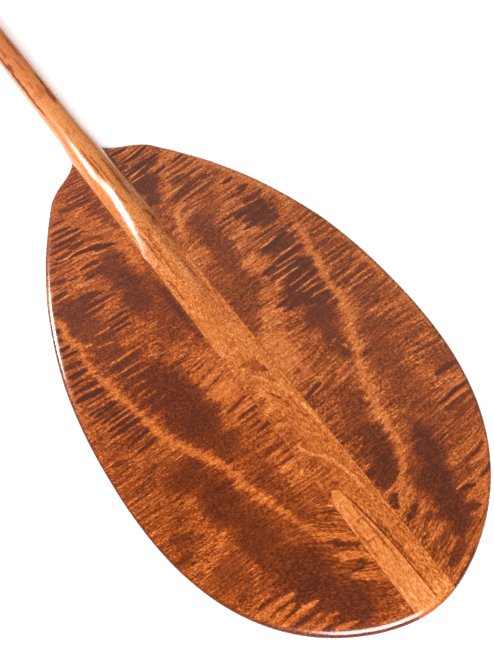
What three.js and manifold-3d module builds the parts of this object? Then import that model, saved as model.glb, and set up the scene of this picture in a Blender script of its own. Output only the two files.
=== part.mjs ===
// Single-bladed wooden outrigger canoe paddle: one long shaft-and-spine stave, two glued-on
// blade wings joined by hidden dowels, a pale strip let into the spine at the blade's tip, and a
// carved T grip on a wedged through tenon.
//
// Millimetres, +Z up. The paddle lies on its flat back face (Z = 0) with its ridged face up,
// +Y from the blade's tip towards the grip, X across. The origin is the bottom centre of the box.
import * as THREE from 'three';
import { mergeVertices } from 'three/addons/utils/BufferGeometryUtils.js';
import Module from 'manifold-3d';

const wasm = await Module();
wasm.setup();

// ---------------------------------------------------------------- driving dimensions
const LENGTH = 1524;            // overall, 60 in
const BLADE_LENGTH = 531;       // neck to tip
const TIP_Y = -LENGTH / 2;
const TOP_Y = LENGTH / 2;
const NECK_Y = TIP_Y + BLADE_LENGTH;

const STAVE_HALF = 17.5;        // half width of the spine between the blade wings
const SHAFT_RX = 14.75;         // oval shaft, half width
const SHAFT_RZ = 12;            // and half thickness
const SHAFT_Z = SHAFT_RZ;       // its axis above the back plane

const EDGE_T = 8;               // thickness at the blade's rounded rim
const CROWN_MID = 11.6;         // thickness beside the spine, upper blade
const CROWN_TIP = 9.6;          // thickness beside the spine, near the tip
const CROWN_RUN = 95;           // distance from the rim over which the blade thickens

// spine ridge height above the back plane, against distance below the neck
const RIDGE = [[0, 23.7], [25, 23.0], [50, 21.9], [75, 20.7], [100, 19.9], [125, 19.2], [150, 17.5],
  [175, 15.4], [200, 13.9], [225, 12.8], [250, 12.0], [275, 11.5], [300, 11.1]];

// half outline of the blade: [half width, distance from the neck (tip is negative)]
const OUTLINE = [[16.6, 1.0], [18.8, -3.4], [22.1, -7.2], [25.8, -10.5], [30.0, -13.2], [34.3, -15.8],
  [38.8, -18.0], [43.2, -20.4], [47.5, -22.9], [51.5, -25.9], [55.3, -29.1], [59.0, -32.5],
  [62.0, -36.5], [67.5, -44.8], [73.3, -53.0], [78.7, -61.4], [83.9, -69.9], [94.3, -86.9],
  [103.5, -104.7], [112.1, -122.7], [120.0, -141.1], [126.7, -160.0], [132.8, -179.0],
  [138.1, -198.3], [142.7, -217.8], [145.8, -237.5], [148.2, -257.4], [149.7, -277.3],
  [150.4, -297.3], [150.5, -317.3], [149.9, -337.3], [148.4, -357.3], [145.9, -377.1],
  [142.1, -396.7], [136.7, -415.9], [129.6, -434.7], [120.6, -452.5], [109.6, -469.2],
  [96.7, -484.3], [81.9, -497.8], [65.8, -509.2], [48.9, -518.5], [39.8, -522.4], [30.4, -525.8],
  [20.8, -528.5], [10.9, -530.4], [0, -531]];

const DOWEL_R = 3, DOWEL_L = 32, DOWEL_Z = 4.6;
const DOWEL_X = 19.5;           // centre of a dowel, so that it crosses the seam at 17.5
const DOWEL_DOWN = [60, 165, 270, 375, 480];  // distance below the neck
const GAP = 0.3;                // glue space round pieces that sit in a cut

// pale strip let into the spine's left half at the tip, in plan (distance from the neck)
const STRIP_TOP = [[-17.5, -446], [-16.4, -434], [-14.2, -427], [-11.6, -422.5], [-6.2, -426.5],
  [-5.0, -437], [-2.9, -451], [-0.6, -468], [0.9, -486], [1.6, -510], [1.8, -540]];

const GRIP_SPAN = 124;          // T grip, end to end
const GRIP_RY = 16.5, GRIP_RZ = 13;
const GRIP_Z = GRIP_RZ;
const GRIP_AXIS_Y = TOP_Y - GRIP_RY;
const SHOULDER_Y = TOP_Y - 78;  // where the shaft meets the grip
const TENON_R = 9;
const WEDGE_X = 3.7, WEDGE_TOP = 3.0, WEDGE_FOOT = 1.2, WEDGE_L = 22;

// ---------------------------------------------------------------- helpers
const lerp = (a, b, t) => a + (b - a) * t;
const clamp = (v, a, b) => Math.min(b, Math.max(a, v));
const smooth = (t) => { t = clamp(t, 0, 1); return t * t * (3 - 2 * t); };

function table(rows, at) {
  if (at <= rows[0][0]) return rows[0][1];
  for (let i = 1; i < rows.length; i += 1) {
    if (at <= rows[i][0]) return lerp(rows[i - 1][1], rows[i][1], (at - rows[i - 1][0]) / (rows[i][0] - rows[i - 1][0]));
  }
  return rows[rows.length - 1][1];
}

function toSolid(geometry) {
  const bare = geometry.clone();
  for (const name of Object.keys(bare.attributes)) if (name !== 'position') bare.deleteAttribute(name);
  const merged = mergeVertices(bare, 1e-5);
  const src = merged.index.array;
  const keep = [];
  for (let i = 0; i < src.length; i += 3) {
    if (src[i] !== src[i + 1] && src[i + 1] !== src[i + 2] && src[i] !== src[i + 2]) keep.push(src[i], src[i + 1], src[i + 2]);
  }
  return new wasm.Manifold(new wasm.Mesh({
    numProp: 3,
    vertProperties: new Float32Array(merged.attributes.position.array),
    triVerts: new Uint32Array(keep),
  }));
}

function toGeometry(solid) {
  const mesh = solid.getMesh();
  const position = new Float32Array(mesh.numVert * 3);
  for (let i = 0; i < mesh.numVert; i += 1) {
    for (let k = 0; k < 3; k += 1) position[3 * i + k] = mesh.vertProperties[mesh.numProp * i + k];
  }
  const geometry = new THREE.BufferGeometry();
  geometry.setAttribute('position', new THREE.BufferAttribute(position, 3));
  geometry.setIndex(Array.from(mesh.triVerts));
  geometry.computeVertexNormals();
  return geometry;
}

function box(x0, x1, y0, y1, z0, z1) {
  const g = new THREE.BoxGeometry(x1 - x0, y1 - y0, z1 - z0);
  g.translate((x0 + x1) / 2, (y0 + y1) / 2, (z0 + z1) / 2);
  return toSolid(g);
}

// closed body through rings of equal point count, ends closed by a fan
function loft(rings) {
  const n = rings[0].length;
  const pts = [];
  const tri = [];
  for (const ring of rings) for (const p of ring) pts.push(...p);
  for (let k = 0; k + 1 < rings.length; k += 1) {
    for (let i = 0; i < n; i += 1) {
      const a = k * n + i, b = k * n + (i + 1) % n, c = a + n, d = b + n;
      tri.push(a, b, d, a, d, c);
    }
  }
  const centre = (ring) => ring.reduce((s, p) => [s[0] + p[0] / n, s[1] + p[1] / n, s[2] + p[2] / n], [0, 0, 0]);
  const s = pts.length / 3;
  pts.push(...centre(rings[0]), ...centre(rings[rings.length - 1]));
  const last = (rings.length - 1) * n;
  for (let i = 0; i < n; i += 1) {
    tri.push(s, (i + 1) % n, i);
    tri.push(s + 1, last + i, last + (i + 1) % n);
  }
  const geometry = new THREE.BufferGeometry();
  geometry.setAttribute('position', new THREE.BufferAttribute(new Float32Array(pts), 3));
  geometry.setIndex(tri);
  return geometry;
}

// ---------------------------------------------------------------- the blade as one blank
const half = OUTLINE.map(([x, y]) => new THREE.Vector2(x, NECK_Y + y));
const curve = new THREE.SplineCurve(half);
const RIM_STEPS = 84;
const rightSide = curve.getSpacedPoints(RIM_STEPS);
rightSide[rightSide.length - 1].x = 0;
rightSide[0].set(half[0].x, half[0].y);
// closed outline, anticlockwise seen from above: tip, right side up, across the neck, left side down
const rim = [];
for (let i = rightSide.length - 1; i >= 0; i -= 1) rim.push(rightSide[i].clone());
rim.push(new THREE.Vector2(0, half[0].y));
for (let i = 0; i < rightSide.length - 1; i += 1) rim.push(new THREE.Vector2(-rightSide[i].x, rightSide[i].y));
const RIM_N = rim.length;

function rimDistance(x, y) {
  let best = Infinity;
  for (let i = 0; i < RIM_N; i += 1) {
    const a = rim[i], b = rim[(i + 1) % RIM_N];
    const ux = b.x - a.x, uy = b.y - a.y;
    const t = clamp(((x - a.x) * ux + (y - a.y) * uy) / (ux * ux + uy * uy), 0, 1);
    best = Math.min(best, Math.hypot(x - a.x - t * ux, y - a.y - t * uy));
  }
  return best;
}

// upper face of the blade, without the ridge
function bladeTop(x, y) {
  const down = NECK_Y - y;
  const crown = lerp(CROWN_MID, CROWN_TIP, smooth((down - 180) / 300));
  return EDGE_T + (crown - EDGE_T) * smooth((rimDistance(x, y) + 4) / CROWN_RUN);
}

function bladeBlank() {
  const r = EDGE_T / 2;
  const normals = rim.map((p, i) => {
    const a = rim[(i + RIM_N - 1) % RIM_N], b = rim[(i + 1) % RIM_N];
    const t = new THREE.Vector2(b.x - a.x, b.y - a.y).normalize();
    return new THREE.Vector2(-t.y, t.x);          // inward, for an anticlockwise outline
  });
  const centre = rim.map((p) => [0, clamp(p.y, TIP_Y + 120, NECK_Y - 70)]);
  const inset = rim.map((p, i) => [p.x + normals[i].x * r, p.y + normals[i].y * r]);
  const rings = [];
  rings.push(rim.map((p, i) => [...centre[i], 0]));                       // flat back
  for (const deg of [-90, -60, -30, 0, 30, 60]) {                         // rounded rim
    const f = (deg * Math.PI) / 180;
    const d = r * (1 - Math.cos(f));
    rings.push(rim.map((p, i) => [p.x + normals[i].x * d, p.y + normals[i].y * d, r + r * Math.sin(f)]));
  }
  for (const t of [0, 0.08, 0.2, 0.35, 0.55, 0.78, 1]) {                  // crowned face
    rings.push(rim.map((p, i) => {
      const x = lerp(inset[i][0], centre[i][0], t), y = lerp(inset[i][1], centre[i][1], t);
      return [x, y, t === 0 ? EDGE_T : bladeTop(x, y)];
    }));
  }
  const pts = [];
  const tri = [];
  for (const ring of rings) for (const p of ring) pts.push(...p);
  for (let k = 0; k + 1 < rings.length; k += 1) {
    for (let i = 0; i < RIM_N; i += 1) {
      const a = k * RIM_N + i, b = k * RIM_N + (i + 1) % RIM_N, c = a + RIM_N, d = b + RIM_N;
      tri.push(a, b, d, a, d, c);
    }
  }
  const geometry = new THREE.BufferGeometry();
  geometry.setAttribute('position', new THREE.BufferAttribute(new Float32Array(pts), 3));
  geometry.setIndex(tri);
  return toSolid(geometry);
}

// ---------------------------------------------------------------- ridge and shaft
function staveRings() {
  const stations = [];
  for (let down = 300; down > 20; down -= 20) stations.push(NECK_Y - down);
  for (let up = -20; up <= 36; up += 5) stations.push(NECK_Y + up);
  for (let k = 1; k <= 8; k += 1) stations.push(lerp(NECK_Y + 36, SHOULDER_Y, k / 8));
  const n = 28;
  return stations.map((y) => {
    const down = NECK_Y - y;
    const round = smooth((y - (NECK_Y - 8)) / 36);       // 0 on the blade, 1 on the shaft
    const w = lerp(STAVE_HALF, SHAFT_RX, round);
    const seam = bladeTop(STAVE_HALF, Math.min(y, NECK_Y - 2)) - 0.3;
    const zc = lerp(seam, SHAFT_Z, round);
    const top = down > 0 ? table(RIDGE, down) : lerp(RIDGE[0][1], 2 * SHAFT_RZ, smooth(-down / 20));
    const low = lerp(0.8, 0, smooth((y - (NECK_Y - 20)) / 20));
    const nl = lerp(9, 2, round);
    // section of the ridge: half oval at the neck, then a rounded gable, then a soft swell
    const oval = smooth((74 - down) / 36);
    const swell = smooth((down - 144) / 36);
    const narrow = lerp(1, 0.86, smooth((down - 150) / 100));
    const gable = (u) => 1 - u ** lerp(1.6, 1.85, clamp((down - 72) / 48, 0, 1));
    const ring = [];
    for (let i = 0; i < n; i += 1) {
      const a = -Math.PI / 2 + (2 * Math.PI * i) / n;
      const c = Math.cos(a), s = Math.sin(a);
      if (s < -1e-9) {
        const e = 2 / nl;
        ring.push([w * Math.sign(c) * Math.abs(c) ** e, y, zc - (zc - low) * Math.abs(s) ** e]);
      } else {
        const u = Math.abs(c);
        const body = oval * Math.max(s, 0) + swell * 0.5 * (1 + Math.cos(Math.PI * Math.min(1, u / narrow))) + (1 - oval - swell) * gable(u);
        ring.push([w * c, y, zc + (top - zc) * body]);
      }
    }
    // seen along +Y the ring has to run so that the faces point out
    return ring.reverse();
  });
}

// ---------------------------------------------------------------- grip
function gripOuter() {
  const profile = [[0, -GRIP_SPAN / 2]];
  const h = GRIP_SPAN / 2;
  for (const [q, r] of [[0.985, 0.42], [0.955, 0.64], [0.91, 0.80], [0.84, 0.91], [0.72, 0.965], [0.5, 0.975], [0.25, 0.99]]) profile.push([r, -h * q]);
  profile.push([1, 0]);
  for (const [q, r] of [[0.25, 0.99], [0.5, 0.975], [0.72, 0.965], [0.84, 0.91], [0.91, 0.80], [0.955, 0.64], [0.985, 0.42]]) profile.push([r, h * q]);
  profile.push([0, h]);
  const bar = new THREE.LatheGeometry(profile.map(([r, y]) => new THREE.Vector2(r, y)), 32);
  bar.rotateZ(-Math.PI / 2);
  bar.scale(1, GRIP_RY, GRIP_RZ);
  bar.translate(0, GRIP_AXIS_Y, GRIP_Z);
  const n = 32;
  const rings = [];
  for (const [down, a, b] of [[78, 14.75, 12], [68, 14.8, 12.05], [58, 15.4, 12.2], [50, 16.8, 12.4], [43, 19.6, 12.6],
    [37, 24, 12.7], [32.5, 29.5, 12.4], [29, 36, 11.6], [25, 42, 10.4], [20, 44, 9.0]]) {
    const ring = [];
    for (let i = 0; i < n; i += 1) {
      const t = (2 * Math.PI * i) / n;
      ring.push([a * Math.cos(t), TOP_Y - down + (down === 78 ? GAP : 0), lerp(SHAFT_Z, GRIP_Z, smooth((78 - down) / 40)) + b * Math.sin(t)]);
    }
    rings.push(ring.reverse());
  }
  return toSolid(bar).add(toSolid(loft(rings)));
}

function alongY(radius, y0, y1, segments) {
  const g = new THREE.CylinderGeometry(radius, radius, y1 - y0, segments);
  g.translate(0, (y0 + y1) / 2, SHAFT_Z);
  return toSolid(g);
}

function wedgeBlank(x, grow) {
  const t = WEDGE_TOP / 2 + grow, f = WEDGE_FOOT / 2 + grow;
  const shape = new THREE.Shape([
    new THREE.Vector2(-f, TOP_Y - WEDGE_L - grow), new THREE.Vector2(f, TOP_Y - WEDGE_L - grow),
    new THREE.Vector2(t, TOP_Y + 2), new THREE.Vector2(-t, TOP_Y + 2)]);
  const depth = grow > 0 ? 24 : 14.4;
  const g = new THREE.ExtrudeGeometry(shape, { depth, bevelEnabled: false });
  g.translate(x, 0, SHAFT_Z - depth / 2);
  return toSolid(g);
}

// ---------------------------------------------------------------- dowels
function dowel(x, y, grow) {
  const r = DOWEL_R + grow, h = DOWEL_L / 2 + grow, c = grow > 0 ? 0.01 : 0.7;
  const g = new THREE.LatheGeometry([[0, -h], [r - c, -h], [r, -h + c], [r, h - c], [r - c, h], [0, h]]
    .map(([a, b]) => new THREE.Vector2(a, b)), 16);
  g.rotateZ(-Math.PI / 2);
  g.translate(x, y, DOWEL_Z);
  return toSolid(g);
}

function stripPrism(grow) {
  const outline = STRIP_TOP.map(([x, y], i) => {
    const atSeam = i === 0;
    return new THREE.Vector2(atSeam ? x : x + (i > 3 ? grow : 0) + (i > 0 && i <= 3 ? -grow * 0.7 : 0),
      NECK_Y + y + (i > 0 && i < 5 ? grow : 0));
  });
  outline.push(new THREE.Vector2(-30, NECK_Y - 540));
  outline.push(new THREE.Vector2(-30, NECK_Y - 446));
  const g = new THREE.ExtrudeGeometry(new THREE.Shape(outline), { depth: 60, bevelEnabled: false });
  g.translate(0, 0, -20);
  return toSolid(g);
}

// ---------------------------------------------------------------- assembly
const blank = bladeBlank();
let wingRight = blank.intersect(box(STAVE_HALF, 200, TIP_Y - 20, NECK_Y + 40, -10, 60));
let wingLeft = blank.intersect(box(-200, -STAVE_HALF, TIP_Y - 20, NECK_Y + 40, -10, 60));
const core = blank.intersect(box(-STAVE_HALF, STAVE_HALF, TIP_Y - 20, NECK_Y + 40, -10, 60));
let stave = core.add(toSolid(loft(staveRings())));

const outer = gripOuter();
const tenon = alongY(TENON_R, SHOULDER_Y - 5, TOP_Y + 4, 28);
const mortise = alongY(TENON_R + GAP, SHOULDER_Y - 5, TOP_Y + 4, 28);
const trim = outer.add(box(-40, 40, SHOULDER_Y - 20, TOP_Y - 60, -10, 60));
stave = stave.add(tenon.intersect(trim));
for (const sx of [-1, 1]) stave = stave.subtract(wedgeBlank(sx * WEDGE_X, GAP));
const grip = outer.subtract(mortise);
const wedges = [-1, 1].map((sx) => wedgeBlank(sx * WEDGE_X, 0).intersect(outer));

const fillet = core.intersect(stripPrism(0));
stave = stave.subtract(stripPrism(GAP));
let tipStrip = fillet;

const dowels = [];
for (const [side, sx] of [['left', -1], ['right', 1]]) {
  DOWEL_DOWN.forEach((down, i) => {
    const y = NECK_Y - down;
    const bore = dowel(sx * DOWEL_X, y, GAP);
    if (sx > 0) wingRight = wingRight.subtract(bore); else wingLeft = wingLeft.subtract(bore);
    stave = stave.subtract(bore);
    if (sx < 0) tipStrip = tipStrip.subtract(bore);
    dowels.push([`dowel_${side}_${i + 1}`, dowel(sx * DOWEL_X, y, 0)]);
  });
}

// ---------------------------------------------------------------- scene graph
const shaftWood = { color: 0xc9793f, roughness: 0.24, metalness: 0 };
const wingWood = { color: 0x8a4524, roughness: 0.22, metalness: 0 };
const paleWood = { color: 0xd98c4c, roughness: 0.24, metalness: 0 };
const gripWood = { color: 0x9c5029, roughness: 0.26, metalness: 0 };
const wedgeWood = { color: 0x4a2614, roughness: 0.3, metalness: 0 };
const dowelWood = { color: 0xcfae80, roughness: 0.7, metalness: 0 };

const paddle = new THREE.Group();
paddle.name = 'paddle';

function add(name, solid, look, parent = paddle) {
  const mesh = new THREE.Mesh(toGeometry(solid), new THREE.MeshStandardMaterial(look));
  mesh.name = name;
  parent.add(mesh);
}

const blade = new THREE.Group();
blade.name = 'blade';
paddle.add(blade);
add('shaft_spine', stave, shaftWood);
add('wing_left', wingLeft, wingWood, blade);
add('wing_right', wingRight, wingWood, blade);
add('tip_strip', tipStrip, paleWood, blade);
const joinery = new THREE.Group();
joinery.name = 'joinery';
paddle.add(joinery);
for (const [name, solid] of dowels) add(name, solid, dowelWood, joinery);
const handle = new THREE.Group();
handle.name = 'handle';
paddle.add(handle);
add('t_grip', grip, gripWood, handle);
add('tenon_wedge_1', wedges[0], wedgeWood, handle);
add('tenon_wedge_2', wedges[1], wedgeWood, handle);

export default paddle;
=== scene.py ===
import math

import bpy
import bmesh
import numpy as np
from mathutils import Matrix, Vector


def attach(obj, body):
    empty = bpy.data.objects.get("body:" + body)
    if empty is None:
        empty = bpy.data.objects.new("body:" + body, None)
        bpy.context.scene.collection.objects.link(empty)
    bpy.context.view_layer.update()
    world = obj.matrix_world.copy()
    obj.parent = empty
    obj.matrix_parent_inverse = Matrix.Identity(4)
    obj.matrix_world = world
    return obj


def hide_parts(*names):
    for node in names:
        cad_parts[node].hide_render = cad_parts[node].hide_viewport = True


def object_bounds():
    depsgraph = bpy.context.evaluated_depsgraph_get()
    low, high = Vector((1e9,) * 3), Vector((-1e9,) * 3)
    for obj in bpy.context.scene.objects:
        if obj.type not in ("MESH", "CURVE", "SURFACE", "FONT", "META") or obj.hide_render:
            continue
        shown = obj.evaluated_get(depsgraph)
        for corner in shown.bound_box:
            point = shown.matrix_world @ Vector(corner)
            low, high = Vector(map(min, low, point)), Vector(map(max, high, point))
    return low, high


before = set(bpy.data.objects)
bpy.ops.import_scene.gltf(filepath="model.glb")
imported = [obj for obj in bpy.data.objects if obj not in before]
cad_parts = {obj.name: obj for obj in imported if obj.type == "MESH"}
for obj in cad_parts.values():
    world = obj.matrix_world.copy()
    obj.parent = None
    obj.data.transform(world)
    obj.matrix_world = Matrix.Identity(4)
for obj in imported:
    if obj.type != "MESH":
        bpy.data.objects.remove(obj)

cad_lo, cad_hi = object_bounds()

# ============================================================ dimensions, millimetres
MM = 0.001
LENGTH = 1524.0
TIP_Y, TOP_Y = -LENGTH / 2, LENGTH / 2
NECK_Y = TIP_Y + 531.0
STAVE = 17.5
SHAFT_RX, SHAFT_RZ = 14.75, 12.0
EDGE_T = 8.0
RIM_IN = 8.0                      # the face rolls off over this distance from the rim
CROWN_MID, CROWN_TIP, CROWN_RUN = 11.6, 9.6, 91.0
RIDGE_D = [0, 25, 50, 75, 100, 125, 150, 175, 200, 225, 250, 275, 300, 340]
RIDGE_Z = [23.7, 23.0, 21.9, 20.7, 19.9, 19.3, 17.6, 15.2, 13.9, 12.8, 12.0, 11.5, 11.1, 10.8]
OUTLINE = [[16.6, 1.0], [18.8, -3.4], [22.1, -7.2], [25.8, -10.5], [30.0, -13.2], [34.3, -15.8],
  [38.8, -18.0], [43.2, -20.4], [47.5, -22.9], [51.5, -25.9], [55.3, -29.1], [59.0, -32.5],
  [62.0, -36.5], [67.5, -44.8], [73.3, -53.0], [78.7, -61.4], [83.9, -69.9], [94.3, -86.9],
  [103.5, -104.7], [112.1, -122.7], [120.0, -141.1], [126.7, -160.0], [132.8, -179.0],
  [138.1, -198.3], [142.7, -217.8], [145.8, -237.5], [148.2, -257.4], [149.7, -277.3],
  [150.4, -297.3], [150.5, -317.3], [149.9, -337.3], [148.4, -357.3], [145.9, -377.1],
  [142.1, -396.7], [136.7, -415.9], [129.6, -434.7], [120.6, -452.5], [109.6, -469.2],
  [96.7, -484.3], [81.9, -497.8], [65.8, -509.2], [48.9, -518.5], [39.8, -522.4], [30.4, -525.8],
  [20.8, -528.5], [10.9, -530.4], [0, -531]]
STRIP = [[-17.5, -446], [-16.4, -434], [-14.2, -427], [-11.6, -422.5], [-6.2, -426.5],
  [-5.0, -437], [-2.9, -451], [-0.6, -468], [0.9, -486], [1.6, -510], [1.8, -540]]
DOWEL_R, DOWEL_L, DOWEL_Z, DOWEL_X = 3.0, 32.0, 4.6, 19.5
DOWEL_DOWN = [60, 165, 270, 375, 480]
GRIP_SPAN, GRIP_RY, GRIP_Z = 124.0, 16.5, 13.0
SHOULDER_Y = TOP_Y - 78
TENON_R = 9.0
WEDGE_X, WEDGE_TOP, WEDGE_FOOT, WEDGE_L = 3.7, 3.0, 1.2, 22.0


def smooth(t):
    t = np.clip(t, 0, 1)
    return t * t * (3 - 2 * t)


def lerp(a, b, t):
    return a + (b - a) * t


# ============================================================ blade outline
def spline(points, n):
    p = np.array(points, float)
    p = np.vstack([2 * p[0] - p[1], p, [[-p[-2][0], p[-2][1]]]])
    out = []
    for i in range(1, len(p) - 2):
        t = np.linspace(0, 1, n, endpoint=False)[:, None]
        a, b, c, d = p[i - 1], p[i], p[i + 1], p[i + 2]
        out.append(0.5 * (2 * b + (c - a) * t + (2 * a - 5 * b + 4 * c - d) * t ** 2 + (3 * b - 3 * c + d - a) * t ** 3))
    return np.vstack(out + [p[-2:-1]])


def spaced(line, step):
    s = np.r_[0, np.cumsum(np.hypot(*np.diff(line, axis=0).T))]
    q = np.linspace(0, s[-1], int(round(s[-1] / step)) + 1)
    return np.stack([np.interp(q, s, line[:, 0]), np.interp(q, s, line[:, 1])], 1)


def ease_curve(line, n):
    """Fairs the measured outline, ends kept."""
    out = line.copy()
    for _ in range(n):
        out[1:-1] = 0.5 * out[1:-1] + 0.25 * (out[:-2] + out[2:])
    out[-1, 0] = 0
    return out


HALF = ease_curve(spaced(spline(OUTLINE, 24), 1.2), 18)
HALF[:, 1] += NECK_Y
HALF[:, 0] = np.minimum(HALF[:, 0], 150.45)
RIM = np.vstack([HALF[::-1], [[0, HALF[0, 1]]], HALF[:-1] * [-1, 1]])       # anticlockwise from the tip
N_RIM = len(RIM)
_dir = np.roll(RIM, -1, 0) - np.roll(RIM, 1, 0)
_dir /= np.linalg.norm(_dir, axis=1)[:, None]
INWARD = np.stack([-_dir[:, 1], _dir[:, 0]], 1)


def rim_distance(x, y):
    a = RIM[::3]
    b = np.roll(a, -1, 0)
    u = b - a
    ll = (u ** 2).sum(1) + 1e-9
    q = np.stack([np.ravel(x), np.ravel(y)], 1)
    out = np.empty(len(q))
    for k in range(0, len(q), 4000):
        d = q[k:k + 4000, None, :] - a[None]
        t = np.clip((d * u).sum(2) / ll, 0, 1)
        out[k:k + 4000] = np.sqrt(((d - t[..., None] * u) ** 2).sum(2).min(1))
    return out.reshape(np.shape(x))


def blade_top(x, y, dist=None):
    dist = rim_distance(x, y) if dist is None else dist
    crown = lerp(CROWN_MID, CROWN_TIP, smooth((NECK_Y - y - 180) / 300))
    return EDGE_T + (crown - EDGE_T) * smooth((dist - RIM_IN * 0.6) / CROWN_RUN)


# ============================================================ mesh helpers
def make_object(name, verts, faces):
    mesh = bpy.data.meshes.new(name)
    mesh.from_pydata((np.asarray(verts) * MM).tolist(), [], faces)
    mesh.validate()
    mesh.update()
    obj = bpy.data.objects.new(name, mesh)
    bpy.context.scene.collection.objects.link(obj)
    return obj


def tidy(obj, merge=1e-6):
    bm = bmesh.new()
    bm.from_mesh(obj.data)
    bmesh.ops.remove_doubles(bm, verts=bm.verts, dist=merge)
    bmesh.ops.dissolve_degenerate(bm, edges=bm.edges, dist=merge)
    bmesh.ops.recalc_face_normals(bm, faces=bm.faces)
    bm.to_mesh(obj.data)
    bm.free()
    obj.data.update()
    return obj


def ring_body(name, rings, cap=(True, True)):
    n = len(rings[0])
    verts = np.vstack(rings)
    faces = []
    for k in range(len(rings) - 1):
        for i in range(n):
            a, b = k * n + i, k * n + (i + 1) % n
            faces.append((a, b, b + n, a + n))
    if cap[0]:
        faces.append(tuple(reversed(range(n))))
    if cap[1]:
        faces.append(tuple(range((len(rings) - 1) * n, len(rings) * n)))
    return tidy(make_object(name, verts, faces))


def combine(obj, other, operation, drop=True, solver="MANIFOLD"):
    mod = obj.modifiers.new("cut", "BOOLEAN")
    mod.operation = operation
    mod.object = other
    mod.solver = solver
    deps = bpy.context.evaluated_depsgraph_get()
    mesh = bpy.data.meshes.new_from_object(obj.evaluated_get(deps))
    obj.modifiers.clear()
    old = obj.data
    obj.data = mesh
    mesh.name = obj.name
    bpy.data.meshes.remove(old)
    if drop:
        data = other.data
        bpy.data.objects.remove(other)
        bpy.data.meshes.remove(data)
    if len(mesh.polygons) == 0:
        raise RuntimeError(f"{obj.name}: {operation} left nothing")
    return obj


def copy_of(obj, name):
    new = bpy.data.objects.new(name, obj.data.copy())
    bpy.context.scene.collection.objects.link(new)
    return new


def block(name, x0, x1, y0, y1, z0, z1):
    v = [(x, y, z) for z in (z0, z1) for y in (y0, y1) for x in (x0, x1)]
    return tidy(make_object(name, v, [(0, 2, 3, 1), (4, 5, 7, 6), (0, 1, 5, 4), (2, 6, 7, 3), (0, 4, 6, 2), (1, 3, 7, 5)]))


def rod(name, axis, radius, lo, hi, at, n=32, bevel=0.0):
    rings = []
    stops = [(lo, radius - bevel), (lo + bevel, radius), (hi - bevel, radius), (hi, radius - bevel)] if bevel else [(lo, radius), (hi, radius)]
    for s, r in stops:
        ring = []
        for i in range(n):
            a = 2 * math.pi * i / n
            p, q = r * math.cos(a), r * math.sin(a)
            ring.append((s, at[0] + p, at[1] + q) if axis == "x" else (at[0] + p, s, at[1] + q))
        rings.append(np.array(ring))
    return ring_body(name, rings)


def prism(name, outline, z0, z1):
    n = len(outline)
    v = [(x, y, z) for z in (z0, z1) for x, y in outline]
    faces = [tuple(reversed(range(n))), tuple(range(n, 2 * n))]
    faces += [(i, (i + 1) % n, n + (i + 1) % n, n + i) for i in range(n)]
    return tidy(make_object(name, v, faces))


def finish_mesh(obj, angle=32):
    """Smooth shading with crisp edges where the faces turn sharply."""
    mesh = obj.data
    mesh.polygons.foreach_set("use_smooth", [True] * len(mesh.polygons))
    mesh.set_sharp_from_angle(angle=math.radians(angle))
    mesh.update()
    return obj


# ============================================================ the blade blank, cut into its wings
def blade_blank():
    centre = np.stack([np.zeros(N_RIM), np.clip(RIM[:, 1], TIP_Y + 120, NECK_Y - 70)], 1)
    rings = []

    def ring(xy, z):
        rings.append(np.column_stack([xy, np.broadcast_to(z, (N_RIM,))]))

    r = EDGE_T / 2
    under = RIM + INWARD * r
    for t in (1.0, 0.86, 0.7, 0.55, 0.4, 0.27, 0.16, 0.07):                # flat back
        ring(lerp(under, centre, t), 0.0)
    for deg in (-90, -75, -60, -45, -30, -15):                             # lower half of the rim
        f = math.radians(deg)
        ring(RIM + INWARD * r * (1 - math.cos(f)), r + r * math.sin(f))
    for deg in (0, 9, 18, 27, 36, 45, 54, 63, 72, 81):                      # face rolling off to the rim
        f = math.radians(deg)
        ring(RIM + INWARD * RIM_IN * (1 - math.cos(f)), r + r * math.sin(f))
    inner = RIM + INWARD * RIM_IN
    for t in np.r_[0, np.linspace(0.012, 1, 104)]:                           # crowned face
        xy = lerp(inner, centre, t)
        ring(xy, blade_top(xy[:, 0], xy[:, 1]) if t else EDGE_T)
    n = N_RIM
    verts = np.vstack(rings)
    faces = []
    for k in range(len(rings) - 1):
        for i in range(n):
            a, b = k * n + i, k * n + (i + 1) % n
            faces.append((a, b, b + n, a + n))
    return tidy(make_object("blank", verts, faces), 2e-6)


blank = blade_blank()


def bores(side):
    made = None
    for i, down in enumerate(DOWEL_DOWN):
        one = rod(f"bore{i}", "x", DOWEL_R + 0.3, side * DOWEL_X - DOWEL_L / 2 - 0.3, side * DOWEL_X + DOWEL_L / 2 + 0.3,
                  (NECK_Y - down, DOWEL_Z), 24)
        if made is None:
            made = one
        else:
            bm = bmesh.new()
            bm.from_mesh(made.data)
            bm.from_mesh(one.data)
            bm.to_mesh(made.data)
            bm.free()
            bpy.data.objects.remove(one)
    return made


def wing(name, side):
    x0, x1 = (STAVE, 200) if side > 0 else (-200, -STAVE)
    keep = block("keep", x0, x1, TIP_Y - 20, NECK_Y + 40, -10, 60)
    combine(keep, bores(side), "DIFFERENCE")
    obj = copy_of(blank, name)
    combine(obj, keep, "INTERSECT")
    return tidy(obj, 1e-7)


wing_left = wing("blade_wing_left", -1)
wing_right = wing("blade_wing_right", 1)
bpy.data.objects.remove(blank)


# ============================================================ shaft and spine
def tip_edge(x):
    return np.interp(np.abs(x), HALF[::-1, 0][:60], HALF[::-1, 1][:60])


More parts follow.
